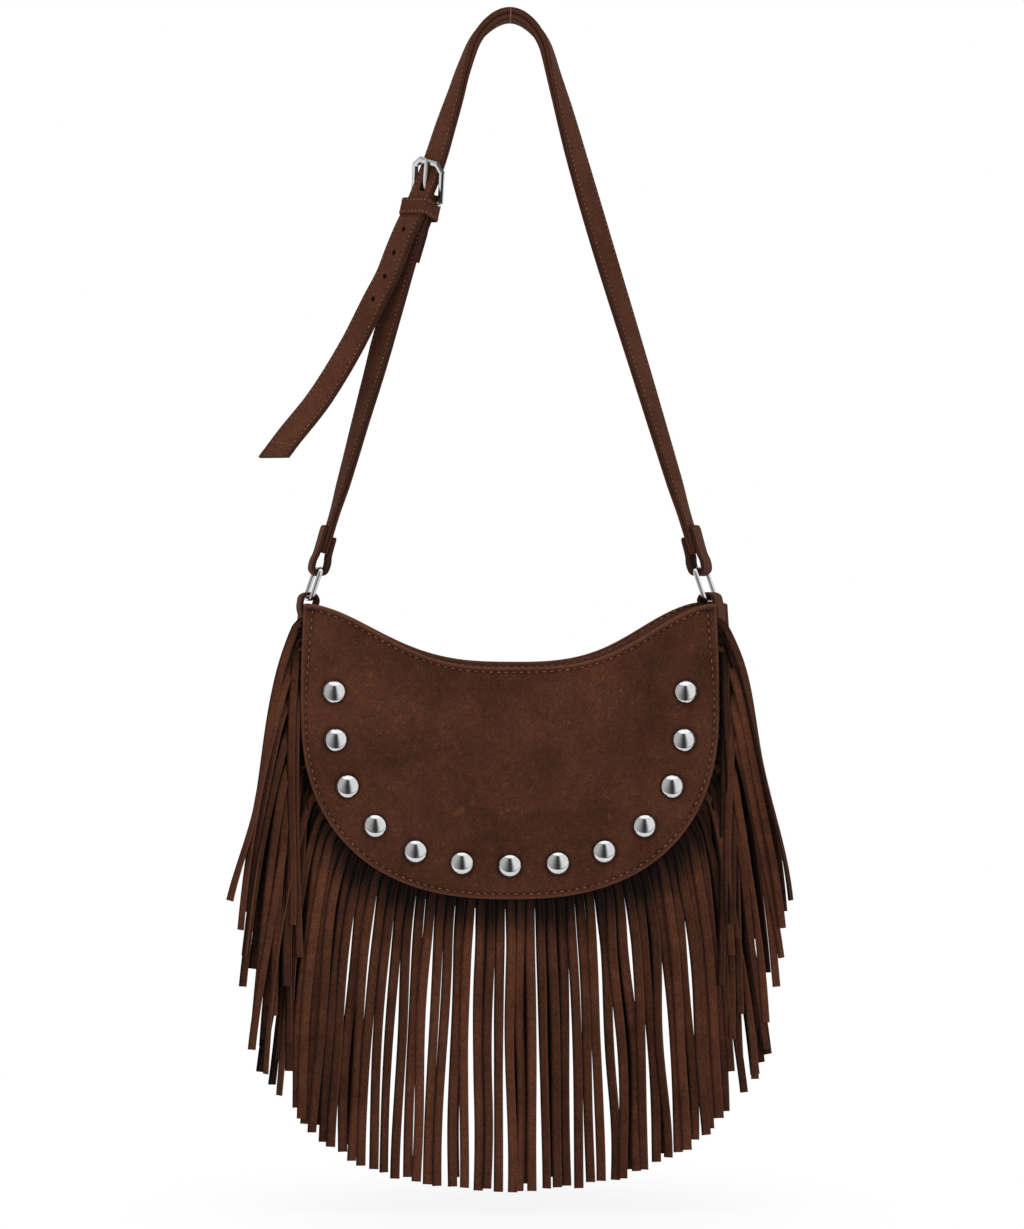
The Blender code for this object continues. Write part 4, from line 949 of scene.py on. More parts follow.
def make_lining_pouch():
    """Lining: front and back sheets and the strip between, with shallow hanging creases.

    A crease is 0.8 mm times sin(150x + 3 sin(40z)), fading to the top and bottom.
    """
    u, v = np.linspace(0, 1, 80), np.linspace(0, 1, 50)
    x, z, bulge = half_moon(u, v, LINING_IN, lining_mouth, LINING_DROP)
    crease = 0.8 * MM * np.sin(150 * x + 3 * np.sin(40 * z)) * np.sin(np.pi * v)[:, None]
    y = half_depth(z) - LINING_BACK - 1.2 * MM + 0.9 * PILLOW * bulge + crease
    front, back = placed(x, -y, z), placed(x, y, z)
    rows, cols = x.shape
    rim = np.concatenate([cols * np.arange(rows), cols * (rows - 1) + np.arange(1, cols),
                          cols * np.arange(rows - 2, -1, -1) + cols - 1])
    f, b = front.reshape(-1, 3)[rim], back.reshape(-1, 3)[rim]
    points, faces = two_sided(front, back, rim, [(1 - k / 9) * f + k / 9 * b for k in range(1, 9)], False)
    plain = np.zeros(len(points))
    obj = add_piece("lining_pouch", (points, faces, plain, plain), LINING, ["lining"])
    solid = obj.modifiers.new("cloth", "SOLIDIFY")
    solid.thickness = LINING_CLOTH
    solid.offset = 0.0


# The fringe

# How far beyond the panel's side each strand of a side bunch ends (mm), from the top of
# its seam down. The photograph's bunches fall mixed, not in order.
FALLS = {
    "left": (41, 39, 6, 42, 35, 3, 42, 35, 7, 40, 28, 20, 33, 24, 12, 30, 17, 8, 26, -2, 14, -9, 5),
    "right": (50, 46, 9, 45, 39, 5, 44, 34, 2, 40, 29, 21, 33, 25, 12, 30, 16, 8, 27, -3, 13, -9, 5),
}
# Painted shade of a side's three layers, from the back one to the front one
SIDE_PAINTED_SHADE = (2.0, 0.85, -0.35)
BUNCH_STEP = 8.4
FLICK = -9.0 * MM
INNER_CHANCE = 0.46
BOTTOM_LAYER = 1.7 * MM
SIDE_LAYER = 3.0 * MM
UPPER_DEPTH = 7.0 * MM
INNER_DEPTH = 5.0 * MM
PARTINGS = ((-0.093, 1.6), (-0.067, 1.0), (-0.025, 2.0), (0.0245, 1.0), (0.056, 1.5), (0.091, 1.0))

# A strand's section: across and out as parts of half its width and thickness, plus
# millimetres; how worn, with pale cut edges, palest down the left as a painted highlight;
# how light, as painted light and shade across it, lighter in the middle and darkest at
# the right edge; and how far its layer's painted shade reaches each point.
STRAND_SECTION = np.array([
    # across  +mm   out  +mm   wear   shade_and_tone  shade
    (-1, 0.35, 1, 0.0, 0.45, -0.9, 1.0), (-1, 1.5, 1, 0.0, 0, 0.05, 1.0), (0, 0.0, 1, 0.0, 0, 0.45, 1.0),
    (1, -1.5, 1, 0.0, 0, -0.15, 1.0), (1, -0.35, 1, 0.0, 0, -2.2, 1.0), (1, 0.0, 1, -0.35, 0, -2.8, 0.9),
    (1, 0.0, -1, 0.35, 0.3, -1.2, 0.4), (1, -0.35, -1, 0.0, 0.2, -0.3, 0.1), (0, 0.0, -1, 0.0, 0, 0.3, 0.0),
    (-1, 0.35, -1, 0.0, 0.2, -0.6, 0.1), (-1, 0.0, -1, 0.35, 0.3, -1.0, 0.4),
    (-1, 0.0, 1, -0.35, 0.75, -0.8, 0.9)]).T


def strand_path(root, direction, end_x, count, reach):
    """A strand's middle line: straight out of the seam at first, then falling to end_x.

    reach is how far it first goes outward, as a share of the whole way aside.
    """
    p0 = root + STRAND_BEND * 0.5 * direction
    p1 = p0 + direction * (0.004 + reach * abs(end_x - p0[0]))
    p2 = np.array([p0[0] + (0.62 + reach) * (end_x - p0[0]), root[1] - 0.45 * STRAND_LENGTH])
    p3 = np.array([end_x, root[1] - 1.02 * STRAND_LENGTH])
    t = np.linspace(0.0, 1.0, 90)[:, None]
    line = (1 - t) ** 3 * p0 + 3 * (1 - t) ** 2 * t * p1 + 3 * (1 - t) * t**2 * p2 + t**3 * p3
    line = np.vstack([root, root + 0.25 * STRAND_BEND * direction, line])
    return read_at(np.linspace(0.0, STRAND_LENGTH, count), along_of(line), line)


def parted(x, t):
    """How far aside a strand at x is pushed where the fringe parts: up to 2 mm at mid-length."""
    push = 0.0
    for centre, wide in PARTINGS:
        away = (x - centre) / MM
        push += wide * MM * np.tanh(away / 1.5) * np.exp(-np.abs(away) / 14.0)
    return push * smoothstep((t - 0.22) / 0.35) * (1.0 - 0.45 * smoothstep((t - 0.7) / 0.3))


def strand_part(s, end_x, depth, twist, sway, length, sink=0.0, shade=0.0, rooted=3.0,
                reach=0.18, broad=1.0, flick=0.0):
    """One cut strand: a thin bar carried from the seam to its free end.

    With t from 0 to 1 along it, it sways aside by sway[0]*sin(2*pi*(sway[1]*t + sway[2])),
    flicks aside by flick at its tip, turns about its length by twist[0]*smoothstep(t),
    comes forward by depth*smoothstep(t) and starts sink behind the seam. Its shade_and_tone
    is a random tone painted darker by rooted near the seam, where the panel's rim shades it,
    and by shade, its layer's painted shade, which fades towards the tip; its paler edges are
    dimmed near the seam as painted shade too.
    """
    count = 40
    normal = edge_normal(s)
    root = edge(s, -STRAND_ROOT)
    direction = unit(normal - np.array([0.0, STRAND_DROOP * abs(normal[0])]))
    t = np.linspace(0.0, 1.0, count)
    plan = root + (strand_path(root, direction, end_x, count, reach) - root) * (1 + (length - 1) * t[:, None])
    wave = smoothstep(t / 0.25) * sway[0] * np.sin(2 * np.pi * (sway[1] * t + sway[2]))
    plan[:, 0] += wave + parted(root[0], t) + flick * smoothstep((t - 0.62) / 0.45)
    y = sink * smoothstep(t / 0.05) - depth * smoothstep((t - 0.02) / 0.16)
    y = y - (half_depth(plan[:, 1]) + GAP + 0.5 * STRAND_LEATHER)
    y = y + smoothstep(t / 0.3) * 0.6 * sway[0] * np.cos(2 * np.pi * (0.8 * sway[1] * t + sway[2]))
    centre = np.stack([plan[:, 0], y, plan[:, 1]], 1)
    tangent = tangents(centre)
    face = square_to(np.array([0.0, -1.0, 0.0]), tangent)
    turn = (twist[0] * smoothstep((t - 0.05) / 0.5) + twist[1] * np.sin(2 * np.pi * t * sway[1]))[:, None]
    out = np.cos(turn) * face + np.sin(turn) * np.cross(tangent, face)
    # rim is painted light and shade across the strand; ahead is how far the layer's painted shade reaches
    across, inward, thick, lower, wear, rim, ahead = STRAND_SECTION
    half = 0.5 * STRAND_WIDTH
    across = across * half + inward * MM
    wide = broad * (1.15 - 0.05 * smoothstep((t - 0.25) / 0.50))
    curl = 0.25 * MM * np.sin(np.pi * t * 2 + sway[2] * 6)[:, None] * (1 - (across / half) ** 2)
    raised = thick * 0.5 * STRAND_LEATHER + lower * MM + curl
    section = np.stack([wide[:, None] * across, raised], -1)
    lit = smoothstep((t - 0.03) / 0.17)[:, None]
    shade = shade * (1.0 - 0.45 * smoothstep((t - 0.68) / 0.30))[:, None]
    # painted shade: darker near the root and by the layer's shade, on a random tone
    shade_and_tone = rng.uniform(-0.95, 0.75) - shade * ahead - rooted * (1.0 - lit)
    # painted shade also dims the paler edges near the root
    return sweep(carried(centre, np.cross(tangent, out), out, section),
                 wear=wear * (0.25 + 0.75 * lit), shade_and_tone=np.clip(shade_and_tone, -3.0, 1.0) + rim)


def heading_part(shares):
    """The heading band between the seam's two layers, as a thin closed sheet painted almost black as the
    shade under the panel's rim.
    """
    s = np.linspace(shares[0], shares[-1], 3 * len(shares))
    lip = 7.0 * MM * np.clip(-edge_normal(s)[:, 1], 0.0, 1.0) ** 2
    grids = []
    for face in (-0.45, 0.45):
        rows = []
        for share in (-1.0, -0.5, 0.0, 0.5, 1.0):
            p = edge(s) + (HEADING * min(share, 0.0) + lip * max(share, 0.0))[:, None] * edge_normal(s)
            y = -(half_depth(p[:, 1]) + GAP + 0.5 * STRAND_LEATHER) + face * STRAND_LEATHER
            rows.append(np.stack([p[:, 0], y + 1.3 * MM * max(share, 0.0), p[:, 1]], 1))
        grids.append(np.array(rows))
    # painted shade: the whole band is made almost black
    return shell(*grids, shade_and_tone=-3.0)


def drawn_sway(least, most, slow, quick):
    """A random sway: how far aside, how many waves and where they start."""
    return rng.uniform(least, most) * MM, rng.uniform(slow, quick), rng.uniform(0, 1)


def add_fringe(name, node, parts, shares):
    parts.append(heading_part(shares))
    obj = add_piece(name, join(parts), STRAND_SUEDE, [node])


def make_bottom_fringe(pitch, shares):
    """Two layers under the bag, and strands between them further back, where chance has it, painted darker as
    shade.
    """
    parts = []
    for k, (s, x) in enumerate(zip(shares, edge(shares)[:, 0] * BOTTOM_SPREAD)):
        sway = drawn_sway(0.3, 1.5, 0.6, 1.5)
        twist = (rng.normal(0.0, 0.25), rng.uniform(-0.15, 0.15))
        parts.append(strand_part(s, x + rng.uniform(-1.3, 1.3) * MM, (k % 2) * BOTTOM_LAYER, twist, sway,
                                 rng.uniform(0.990, 1.006)))
        if rng.uniform() < INNER_CHANCE and k < len(shares) - 1:
            x += (0.5 + rng.uniform(-0.2, 0.2)) * BOTTOM_SPREAD * STRAND_PITCH
            # painted shade: the strand further back is darkened by shade=2.4
            parts.append(strand_part(s + 0.5 * pitch, x, -INNER_DEPTH, twist[::-1], sway,
                                     rng.uniform(0.960, 0.995), sink=3.0 * MM, shade=2.4))
    add_fringe("fringe_under", "fringe_bottom", parts, shares)


def make_side_fringe(side, sign, pitch, down):
    """A side's strands in bunches and three layers, the back ones painted darker as shade, each with a strand
    behind it painted nearly black as shade.
    """
    parts = []
    falls = FALLS[side]
    for k in range(len(down)):
        s = down[k] if sign < 0 else 1.0 - down[k]
        group = falls[k] if k < 5 else BUNCH_STEP * round(falls[k % len(falls)] / BUNCH_STEP)
        layer = (k + 2) % 3
        end_x = sign * (PANEL_HALF_WIDTH + (group + rng.uniform(-0.9, 0.9)) * MM)
        sway = drawn_sway(0.5, 2.0, 0.5, 1.3)
        twist = (rng.normal(0.0, 0.55), rng.uniform(-0.3, 0.3))
        depth = -1.5 * MM + UPPER_DEPTH * (1.0 - k / len(down)) + SIDE_LAYER * layer
        parts.append(strand_part(s, end_x, depth, twist, sway, rng.uniform(0.975, 1.0), sink=3.0 * MM,
                                 shade=SIDE_PAINTED_SHADE[layer], rooted=0.9, reach=0.06, broad=0.84,
                                 flick=FLICK if k == 0 and sign < 0 else 0.0))
        near = BUNCH_STEP * (round(falls[(k + 7) % len(falls)] / BUNCH_STEP) + 0.5)
        end_x = sign * (PANEL_HALF_WIDTH + (0.75 * near - 4 + rng.uniform(-1.5, 1.5)) * MM)
        sway = drawn_sway(0.5, 1.6, 0.5, 1.3)
        back = -INNER_DEPTH - SIDE_LAYER * (k % 2)
        # painted shade: the strand behind is nearly black, less so towards its tip
        parts.append(strand_part(s - sign * 0.5 * pitch, end_x, back, twist[::-1], sway,
                                 rng.uniform(0.90, 0.97), sink=4.0 * MM, shade=3.4, reach=0.06))
    add_fringe(f"fringe_at_{side}", f"fringe_{side}", parts, down if sign < 0 else 1.0 - down[::-1])


def make_fringe():
    pitch = STRAND_PITCH / OUTLINE_LENGTH
    bottom_count = int((1.0 - 2 * SIDE_SHARE) / pitch)
    first = 0.5 - 0.5 * (bottom_count - 1) * pitch
    make_bottom_fringe(pitch, first + pitch * np.arange(bottom_count))
    highest = first - 1.2 * pitch
    count = int((highest - FRINGE_TOP / OUTLINE_LENGTH) / pitch) + 1
    down = (highest - pitch * np.arange(count))[::-1]
    for side, sign in SIDES.items():
        make_side_fringe(side, sign, pitch, down)


# Studs and snap

def disc_part(centre, axis, profile, around=40):
    """A turned piece: (radius, height) pairs spun round its axis, closed at both ends."""
    axis = unit(axis)
    side = unit(np.cross(axis, (0.0, 0.0, 1.0)))
    circle = round_section(1.0, around) @ np.stack([side, np.cross(side, axis)])
    return sweep(np.array([centre + r * circle + h * axis for r, h in profile]))


def make_studs():
    """Domes: above a small base lip, the cap of a ball whose slope at the rim is 50 degrees."""
    steep, base = math.radians(50.0), 0.14 * STUD_HEIGHT
    ball = STUD_RADIUS / math.sin(steep)
    profile = [(0.94 * STUD_RADIUS, 0.0), (0.985 * STUD_RADIUS, 0.35 * base)]
    profile += [(ball * math.sin(a), base + ball * (math.cos(a) - math.cos(steep)))
                for a in np.linspace(steep, 0.004, 20)]
    reach = 0.012
    parts = []
    for x, z in stud_places():
        at = surface_y(x + reach * np.array([0, 1, -1, 0, 0]), z + reach * np.array([0, 0, 0, 1, -1]),
                       *COVERS["front"])
        axis = np.array([(at[1] - at[2]) / (2 * reach), -1.0, (at[3] - at[4]) / (2 * reach)])
        parts.append(disc_part(np.array([x, at[0] - soft_waves(x, z) - 0.1 * MM, z]), axis, profile, 56))
    nodes = [f"stud_{k + 1:02d}" for k in range(STUD_COUNT)]
    add_piece("dome_studs", join(parts), METAL, nodes, angle=60)


def make_snap():
    """Magnetic snap: a boss with a rounded rim and a dished middle on each facing."""
    profile = [(share * SNAP_RADIUS, high * SNAP_THICKNESS) for share, high in (
        (1.0, 0.0), (1.0, 0.55), (0.96, 0.85), (0.88, 1.0), (0.50, 1.0), (0.45, 0.92), (0.42, 0.7),
        (0.02, 0.66))]
    for name, node, side in (("snap_boss", "snap_stud", -1), ("snap_dish", "snap_socket", 1)):
        low, high = (np.array(corner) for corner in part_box(node))
        centre = 0.5 * (low + high)
        centre[1] = low[1] if side < 0 else high[1]
        add_piece(name, disc_part(centre, np.array([0.0, -side, 0.0]), profile), METAL, [node])


# Straps

def strap_section(width, thickness):
    """The strap's outline in two rounded plies: (across, out, wear, shade_and_tone), anticlockwise.

    The side of each ply bulges as width/2 - 0.9 mm*|s|^3.5, s from -1 to 1 over the ply.
    Its shade_and_tone is painted shade, darkest in the groove between the plies and dark in
    a groove beside each stitch line; the sides and rounded edges are darker, partly their own
    colour and partly painted shade.
    """
    w, t = 0.5 * width, 0.5 * thickness
    s = np.array([-1.0, -0.86, -0.5, 0.0, 0.5, 0.86])
    cut = np.minimum(0.9 * MM, 0.45 * thickness) * np.abs(s) ** 3.5
    # painted shade across each ply's side, darkest at the groove between the plies
    painted_ply_shade = (-3.0, -2.2, -1.2, -0.8, -1.2, -2.2)
    side = [(w - c, base + 0.5 * t * (q + 1), 0.15, g)
            for base in (-t, 0.0) for q, c, g in zip(s, cut, painted_ply_shade)]
    side[0] = (*side[0][:3], -1.6)
    near = [(1.5, 0.06, 0.25, -0.3), (2.1, -0.18, 0, -1.6), (2.8, 0.0, 0, 0)]
    face = [(w - a * MM, t + b * MM, k, g) for a, b, k, g in near]
    face += [(share * w, t + 0.05 * MM, 0, 0.1) for share in (0.35, -0.35)]
    face += [(a * MM - w, t + b * MM, k, g) for a, b, k, g in near[::-1]]
    return mirrored(side + [(w - 0.9 * MM, t, 0.20, -1.5)] + face)


def strap_frames(centre, outward):
    tangent = tangents(centre)
    outward = square_to(outward, tangent)
    return tangent, outward, np.cross(tangent, outward)


def strap_rings(centre, outward, thickness, skew=0.0):
    """Sections along a strap; skew moves each section's points along it, as an oblique cut."""
    tangent, outward, across = strap_frames(centre, outward)
    section = np.array([strap_section(STRAP_WIDTH, t) for t in thickness])
    rings = carried(centre, across, outward, section)
    rings += section[..., :1] * (np.broadcast_to(skew, len(centre))[:, None] * tangent)[:, None]
    return rings, section[..., 2], section[..., 3]


def strap_stitches(centre, outward, thickness, faces=(-1, 1)):
    """Two rows of thread on each asked face of a strap, inset from its edges."""
    _, out, across = strap_frames(centre, outward)
    rows = [(face, side) for face in faces for side in (-1, 1)]
    return [stitches_on(centre + side * (0.5 * STRAP_WIDTH - STRAP_SEAM) * across
                        + face * (0.5 * thickness[:, None] - THREAD_DEPTH) * out, face * out, STRAP_STITCH)
            for face, side in rows]


def long_strap_lines():
    """The long strap's line, its crown rounded off and thickest at the very top."""
    centre, outward, _ = strap_long_path()
    run = along_of(centre)
    away = np.abs(run - run[int(np.argmax(centre[:, 2]))])
    near = bell(run[:, None] - run[None], CROWN_ROUND)
    near /= near.sum(1, keepdims=True)
    rounded = near @ centre
    share = smoothstep(1.0 - away / CROWN_SWELL)
    rounded[:, 2] += (CROWN_TOP - 0.5 * CROWN_THICK - rounded[:, 2].max()) * share
    rounded[:, 0] *= 1.0 + CROWN_WIDEN * share
    part = smoothstep(2.0 - away / 0.03)[:, None]
    centre = centre + part * (rounded - centre)
    outward = unit(outward + part * (near @ outward - outward))
    thickness = STRAP_THICKNESS + (CROWN_THICK - STRAP_THICKNESS) * share
    return centre, outward, tangents(centre), along_of(centre), thickness


def punch(obj, tools):
    """Cut closed tool parts out of a piece for good."""
    for k, part in enumerate(tools):
        tool = linked(f"punch_{k}", mesh_of(f"punch_{k}", *part[:2]))
        cut = obj.modifiers.new("cut", "BOOLEAN")
        cut.operation = "DIFFERENCE"
        cut.solver = "EXACT"
        cut.object = tool
        done = bpy.data.meshes.new_from_object(obj.evaluated_get(bpy.context.evaluated_depsgraph_get()))
        obj.modifiers.remove(cut)
        obj.data = done
        bpy.data.objects.remove(tool, do_unlink=True)


def make_long_strap():
    """Long strap: two plies carried over the crown, punched for the prong and five holes."""
    centre, outward, tangent, run, thickness = long_strap_lines()
    across = np.cross(tangent, outward)
    tip_cut = np.clip(-across[-1, 2] / tangent[-1, 2], -1.2, 1.2)
    skew = tip_cut * smoothstep((run - run[-1] + TIP_REACH) / TIP_REACH)
    rings, wear, shade_and_tone = strap_rings(centre, outward, thickness, skew)
    strap = add_piece("long_strap", sweep(rings, wear=wear, shade_and_tone=shade_and_tone), STRAP_SUEDE, ["strap_long"])
    origin, _, _, cross = buckle_axes()
    used = nearest(centre, origin)
    tools = []
    for k in range(1, HOLE_COUNT + 1):
        i = int(np.argmin(np.abs(run - (run[used] + k * HOLE_PITCH))))
        ring = centre[i] + round_section(HOLE_RADIUS, 20) @ np.stack([1.25 * tangent[i], across[i]])
        deep = 0.9 * STRAP_THICKNESS * outward[i]
        tools.append(sweep([ring - deep, ring + deep]))
    leave, tip = prong_line()
    lean = unit(tip - leave)
    half = 0.5 * PRONG_THICKNESS
    slot = ((0.0, -half - SLOT_PLAY), (0.0, half + 3 * SLOT_PLAY),
            (SLOT_REACH, half + 9 * SLOT_PLAY), (SLOT_REACH, -half - SLOT_PLAY))
    lift, wide = unit(np.cross(cross, -lean)), 0.5 * PRONG_WIDTH + 1.5 * SLOT_PLAY
    tools.append(block(leave, lean, lift, cross, slot, wide))
    punch(strap, tools)
    keep = (run > 0.016) & (run < run[-1] - 0.004)
    parts = strap_stitches(centre[keep], outward[keep], thickness[keep])
    end = -8
    slant = STRAP_WIDTH * (across[end] + skew[end] * tangent[end])
    tip_line = centre[end] + np.linspace(-0.40, 0.40, 30)[:, None] * slant
    for face in (-1, 1):
        lift = face * (0.5 * STRAP_THICKNESS - THREAD_DEPTH) * outward[end]
        parts.append(stitches_on(tip_line + lift, face * outward[end], STRAP_STITCH))
    top = int(np.argmax(centre[:, 2]))
    seam = strap_rings(centre, outward, thickness)[0][top]
    parts.append(sweep(carried(seam, unit(seam - centre[top]), tangent[top], round_section(CROWN_THREAD, 6)),
                       closed=True))
    add_piece("long_strap_seams", join(parts), THREAD)


def make_short_strap():
    """Short strap: its thinned end turns round the heel bar, laps behind and is cut for the prong."""
    fold = fold_line()
    start, folded = fold[-1], len(fold)
    _, down, out, across = buckle_axes()
    body = np.vstack([SHORT_ROUTE, strap_end("left")])
    rest = curve_through(np.vstack([fold[-2:], body[:, :3]]), 170)
    rest = rest[nearest(rest, start) + 1:]
    centre = np.vstack([fold, rest])
    tangent = tangents(centre)
    turn = np.interp(-rest[:, 2], -np.array([start[2], *body[:, 2]]),
                     [LONG_ROUTE[BUCKLE_POINT, 3], *body[:, 3]])
    face = unit(facing(tangent[folded:], turn))
    outward = np.vstack([np.cross(across, tangent[:folded]), settled(rest, face, "left")])
    thick = np.concatenate([np.full(folded, FOLD_LEATHER), fold_thickness(along_of(rest))])
    rings, wear, shade_and_tone = strap_rings(centre, outward, thick)
    # The short strap is painted 0.35 darker throughout as shade.
    strap = add_piece("short_strap", sweep(rings, wear=wear, shade_and_tone=shade_and_tone - 0.35), STRAP_SUEDE, ["strap_short"])
    middle = buckle_points()[1] + CUT_SHIFT * down
    x, y = CUT_HALF_LENGTH, CUT_HALF_DEPTH
    shape = ((-x, -y), (x, -y), (x, y), (-x, y))
    punch(strap, [block(middle, down, out, across, shape, 0.5 * PRONG_WIDTH + CUT_PLAY)])
    seen, lap = slice(folded + 6, -8), slice(2, 24)
    parts = strap_stitches(centre[seen], outward[seen], thick[seen])
    parts += strap_stitches(centre[lap], outward[lap], thick[lap], faces=(1,))
    add_piece("short_strap_seams", join(parts), THREAD)


def keeper_place():
    """The keeper's middle on the long strap, down, outward and across, tilted."""
    centre, outward, tangent, run, _ = long_strap_lines()
    at = nearest(centre, buckle_axes()[0])
    i = int(np.argmin(np.abs(run - (run[at] + KEEPER_DROP))))
    down, across = tangent[i], np.cross(tangent[i], outward[i])
    turn, aside = math.cos(KEEPER_TILT), math.sin(KEEPER_TILT)
    return centre[i], turn * down - aside * across, outward[i], turn * across + aside * down


def make_keeper():
    """Keeper: a band with rounded edges carried round a rounded rectangle, with two seams."""
    middle, down, out, across = keeper_place()
    t = KEEPER_LEATHER
    inner_high = STRAP_THICKNESS / 2 + 2 * GAP
    low = -(inner_high + STRAP_THICKNESS + FOLD_LEATHER + 4 * GAP + KEEPER_SLACK) - t / 2
    high, corner = inner_high + t / 2, 0.0016 + t / 2
    x, y, below_y = STRAP_WIDTH / 2 + KEEPER_SLACK + t / 2 - corner, high - corner, low + corner
    loop = rounded_loop(((x, y, 0), (-x, y, 90), (-x, below_y, 180), (x, below_y, 270)), corner, 9, 120)
    line = middle + loop[:, :1] * across + loop[:, 1:] * out
    normal = np.cross(tangents_round(line), down)
    if ((line + normal - middle) ** 2).sum() <= ((line - normal - middle) ** 2).sum():
        normal = -normal
    w, h, c = 0.5 * KEEPER_WIDTH, 0.5 * t, 0.45 * MM
    # painted shade at the band's rounded edges and in the groove beside each seam
    half = [(w - c, -h, .2, -1.5), (w, c - h, .2, -2.0), (w, h - c, .3, -2.0), (w - c, h, .3, -1.2),
            (w - 1.2 * MM, h + 0.05 * MM, .2, -0.3), (w - 1.8 * MM, h - 0.12 * MM, 0, -1.8),
            (w - 2.4 * MM, h, 0, -0.3)]
    shape = np.array(half + [(-x, *rest) for x, *rest in half[::-1]])
    add_piece("keeper_band", sweep(carried(line, down, normal, shape), closed=True, wear=shape[:, 2],
                                   shade_and_tone=shape[:, 3]), STRAP_SUEDE, ["strap_keeper"])
    parts = []
    for side in (-1, 1):
        seam = line + side * (w - 1.8 * MM) * down + (h - 0.22 * MM) * normal
        parts.append(stitches_on(np.vstack([seam, seam[:1]]), np.vstack([normal, normal[:1]]), KEEPER_STITCH))
    add_piece("keeper_seams", join(parts), THREAD)


# Tabs, rings and buckle

def leather_section(width, thickness):
    """A strip of leather with rounded edges: (across, out, wear, shade_and_tone), with painted shade at the
    edges and a painted highlight along the middle.
    """
    w, h, c = 0.5 * width, 0.5 * thickness, min(0.7 * MM, 0.42 * thickness)
    near = [(0.3 * c, h - 0.35 * c, .15, -2.2), (c, h, .2, -1.5), (2.0 * MM, h, .1, -0.4),
            (0.6 * w, h + 0.05 * MM, 0, 0.3)]
    return mirrored([(w, 0.0, .1, -2.0)] + [(w - a, *rest) for a, *rest in near]
                    + [(a - w, *rest) for a, *rest in near[::-1]])


def add_tab(name, node, centre, across, thickness, out, legs):
    """A folded tab along its fold's line, narrowed to round corners at both ends.

    Each leg is (1 or -1 for the line's first or last end, length sewn): its thread runs
    down both edges.
    """
    outward = np.cross(tangents(centre), across)
    section = leather_section(TAB_WIDTH, thickness)
    run = along_of(centre)
    near = np.clip(1.0 - np.minimum(run, run[-1] - run) / TAB_ROUND, 0.0, 1.0)
    narrow = 1.0 - 2 * TAB_ROUND / TAB_WIDTH * (1.0 - np.sqrt(1.0 - near**2))
    shape = np.stack(np.broadcast_arrays(narrow[:, None] * section[:, 0], section[:, 1]), -1)
    part = sweep(carried(centre, across, outward, shape), wear=section[:, 2], shade_and_tone=section[:, 3])
    add_piece(name, part, STRAP_SUEDE, [node])
    face = 1.0 if outward[5] @ out > 0 else -1.0
    parts = []
    for end, reach in legs:
        line, normal = centre[::end], outward[::end] * face
        sewn = along_of(line) < reach
        line, normal = line[sewn][2:], normal[sewn][2:]
        lift = (0.5 * thickness - THREAD_DEPTH) * normal
        parts += [stitches_on(line + side * (0.5 * TAB_WIDTH - TAB_SEAM) * across + lift, normal, TAB_STITCH)
                  for side in (-1, 1)]
    add_piece(name + "_seams", join(parts), THREAD)


def make_strap_tab(side):
    """Strap tab: from the outer leg's end, round the ring's upper bar, up the inner leg."""
    bar, up, across, out = tab_axes(side)
    leg = STRAP_THICKNESS / 2 + GAP + STRAP_TAB_LEATHER / 2
    loop = STRAP_LOOP + STRAP_TAB_LEATHER / 2
    rise = STRAP_LOOP - RING_WIRE / 2 - GAP
    half = [(leg, 0.0135), (leg + 0.0002, 0.0085), (loop, 0.0030),
            (loop * math.cos(0.5), -loop * math.sin(0.5)), (loop * 0.6, -loop * 0.8)]
    shape = [(leg, OUTER_LEG), *half, (0.0, -loop), *[(-a, b) for a, b in half[::-1]], (-leg, INNER_LEG)]
    centre = curve_through(np.array([bar + a * out + (b + rise) * up for a, b in shape]), 110)
    add_tab(f"{side}_upper_tab", f"{side}_strap_tab", centre, across, STRAP_TAB_LEATHER, out,
            ((1, OUTER_LEG * 0.62), (-1, INNER_LEG * 0.5)))


def make_bag_tab(side):
    """Bag tab: up one leg from the gusset's end, round the ring's lower bar, down the other."""
    low = np.array(RING_LOW[side])
    across = ring_axes(side)[2]
    out = SIDES[side] * unit(np.array([across[1], -across[0], 0.0]))
    leg = GUSSET_LEATHER / 2 + GAP + BAG_TAB_LEATHER / 2
    loop = BAG_LOOP + BAG_TAB_LEATHER / 2
    sink = BAG_LOOP - RING_WIRE / 2 - GAP
    legs = []
    for drop in (BAG_LEG, 0.7 * BAG_LEG, 1.5 * GUSSET_END_DROP, GUSSET_END_DROP):
        x, z = edge(drop / OUTLINE_LENGTH, -GUSSET_INSET - GUSSET_LEATHER / 2)
        web = np.array([float(splayed(SIDES[side] * abs(x), 0.0, z)), 0.0, z])
        legs.append(((web - low) @ out, CORNER_Z - drop - low[2] + sink))
    neck = 0.5 * legs[-1][0]
    half = [(loop * 1.06, 0.0002), (loop * 0.86, 0.0037), (loop * 0.36, loop)]
    shape = [(x + leg, z) for x, z in legs] + [(neck + loop * 0.90, -0.0045), *half]
    shape += [(-a, b) for a, b in half[::-1]] + [(neck - loop * 0.90, -0.0045)]
    shape += [(x - leg, z) for x, z in reversed(legs)]
    centre = curve_through(np.array([low + a * out + np.array([0.0, 0.0, b - sink]) for a, b in shape]), 120)
    add_tab(f"{side}_lower_tab", f"{side}_bag_tab", centre, across, BAG_TAB_LEATHER, out, ((1, 0.020),))


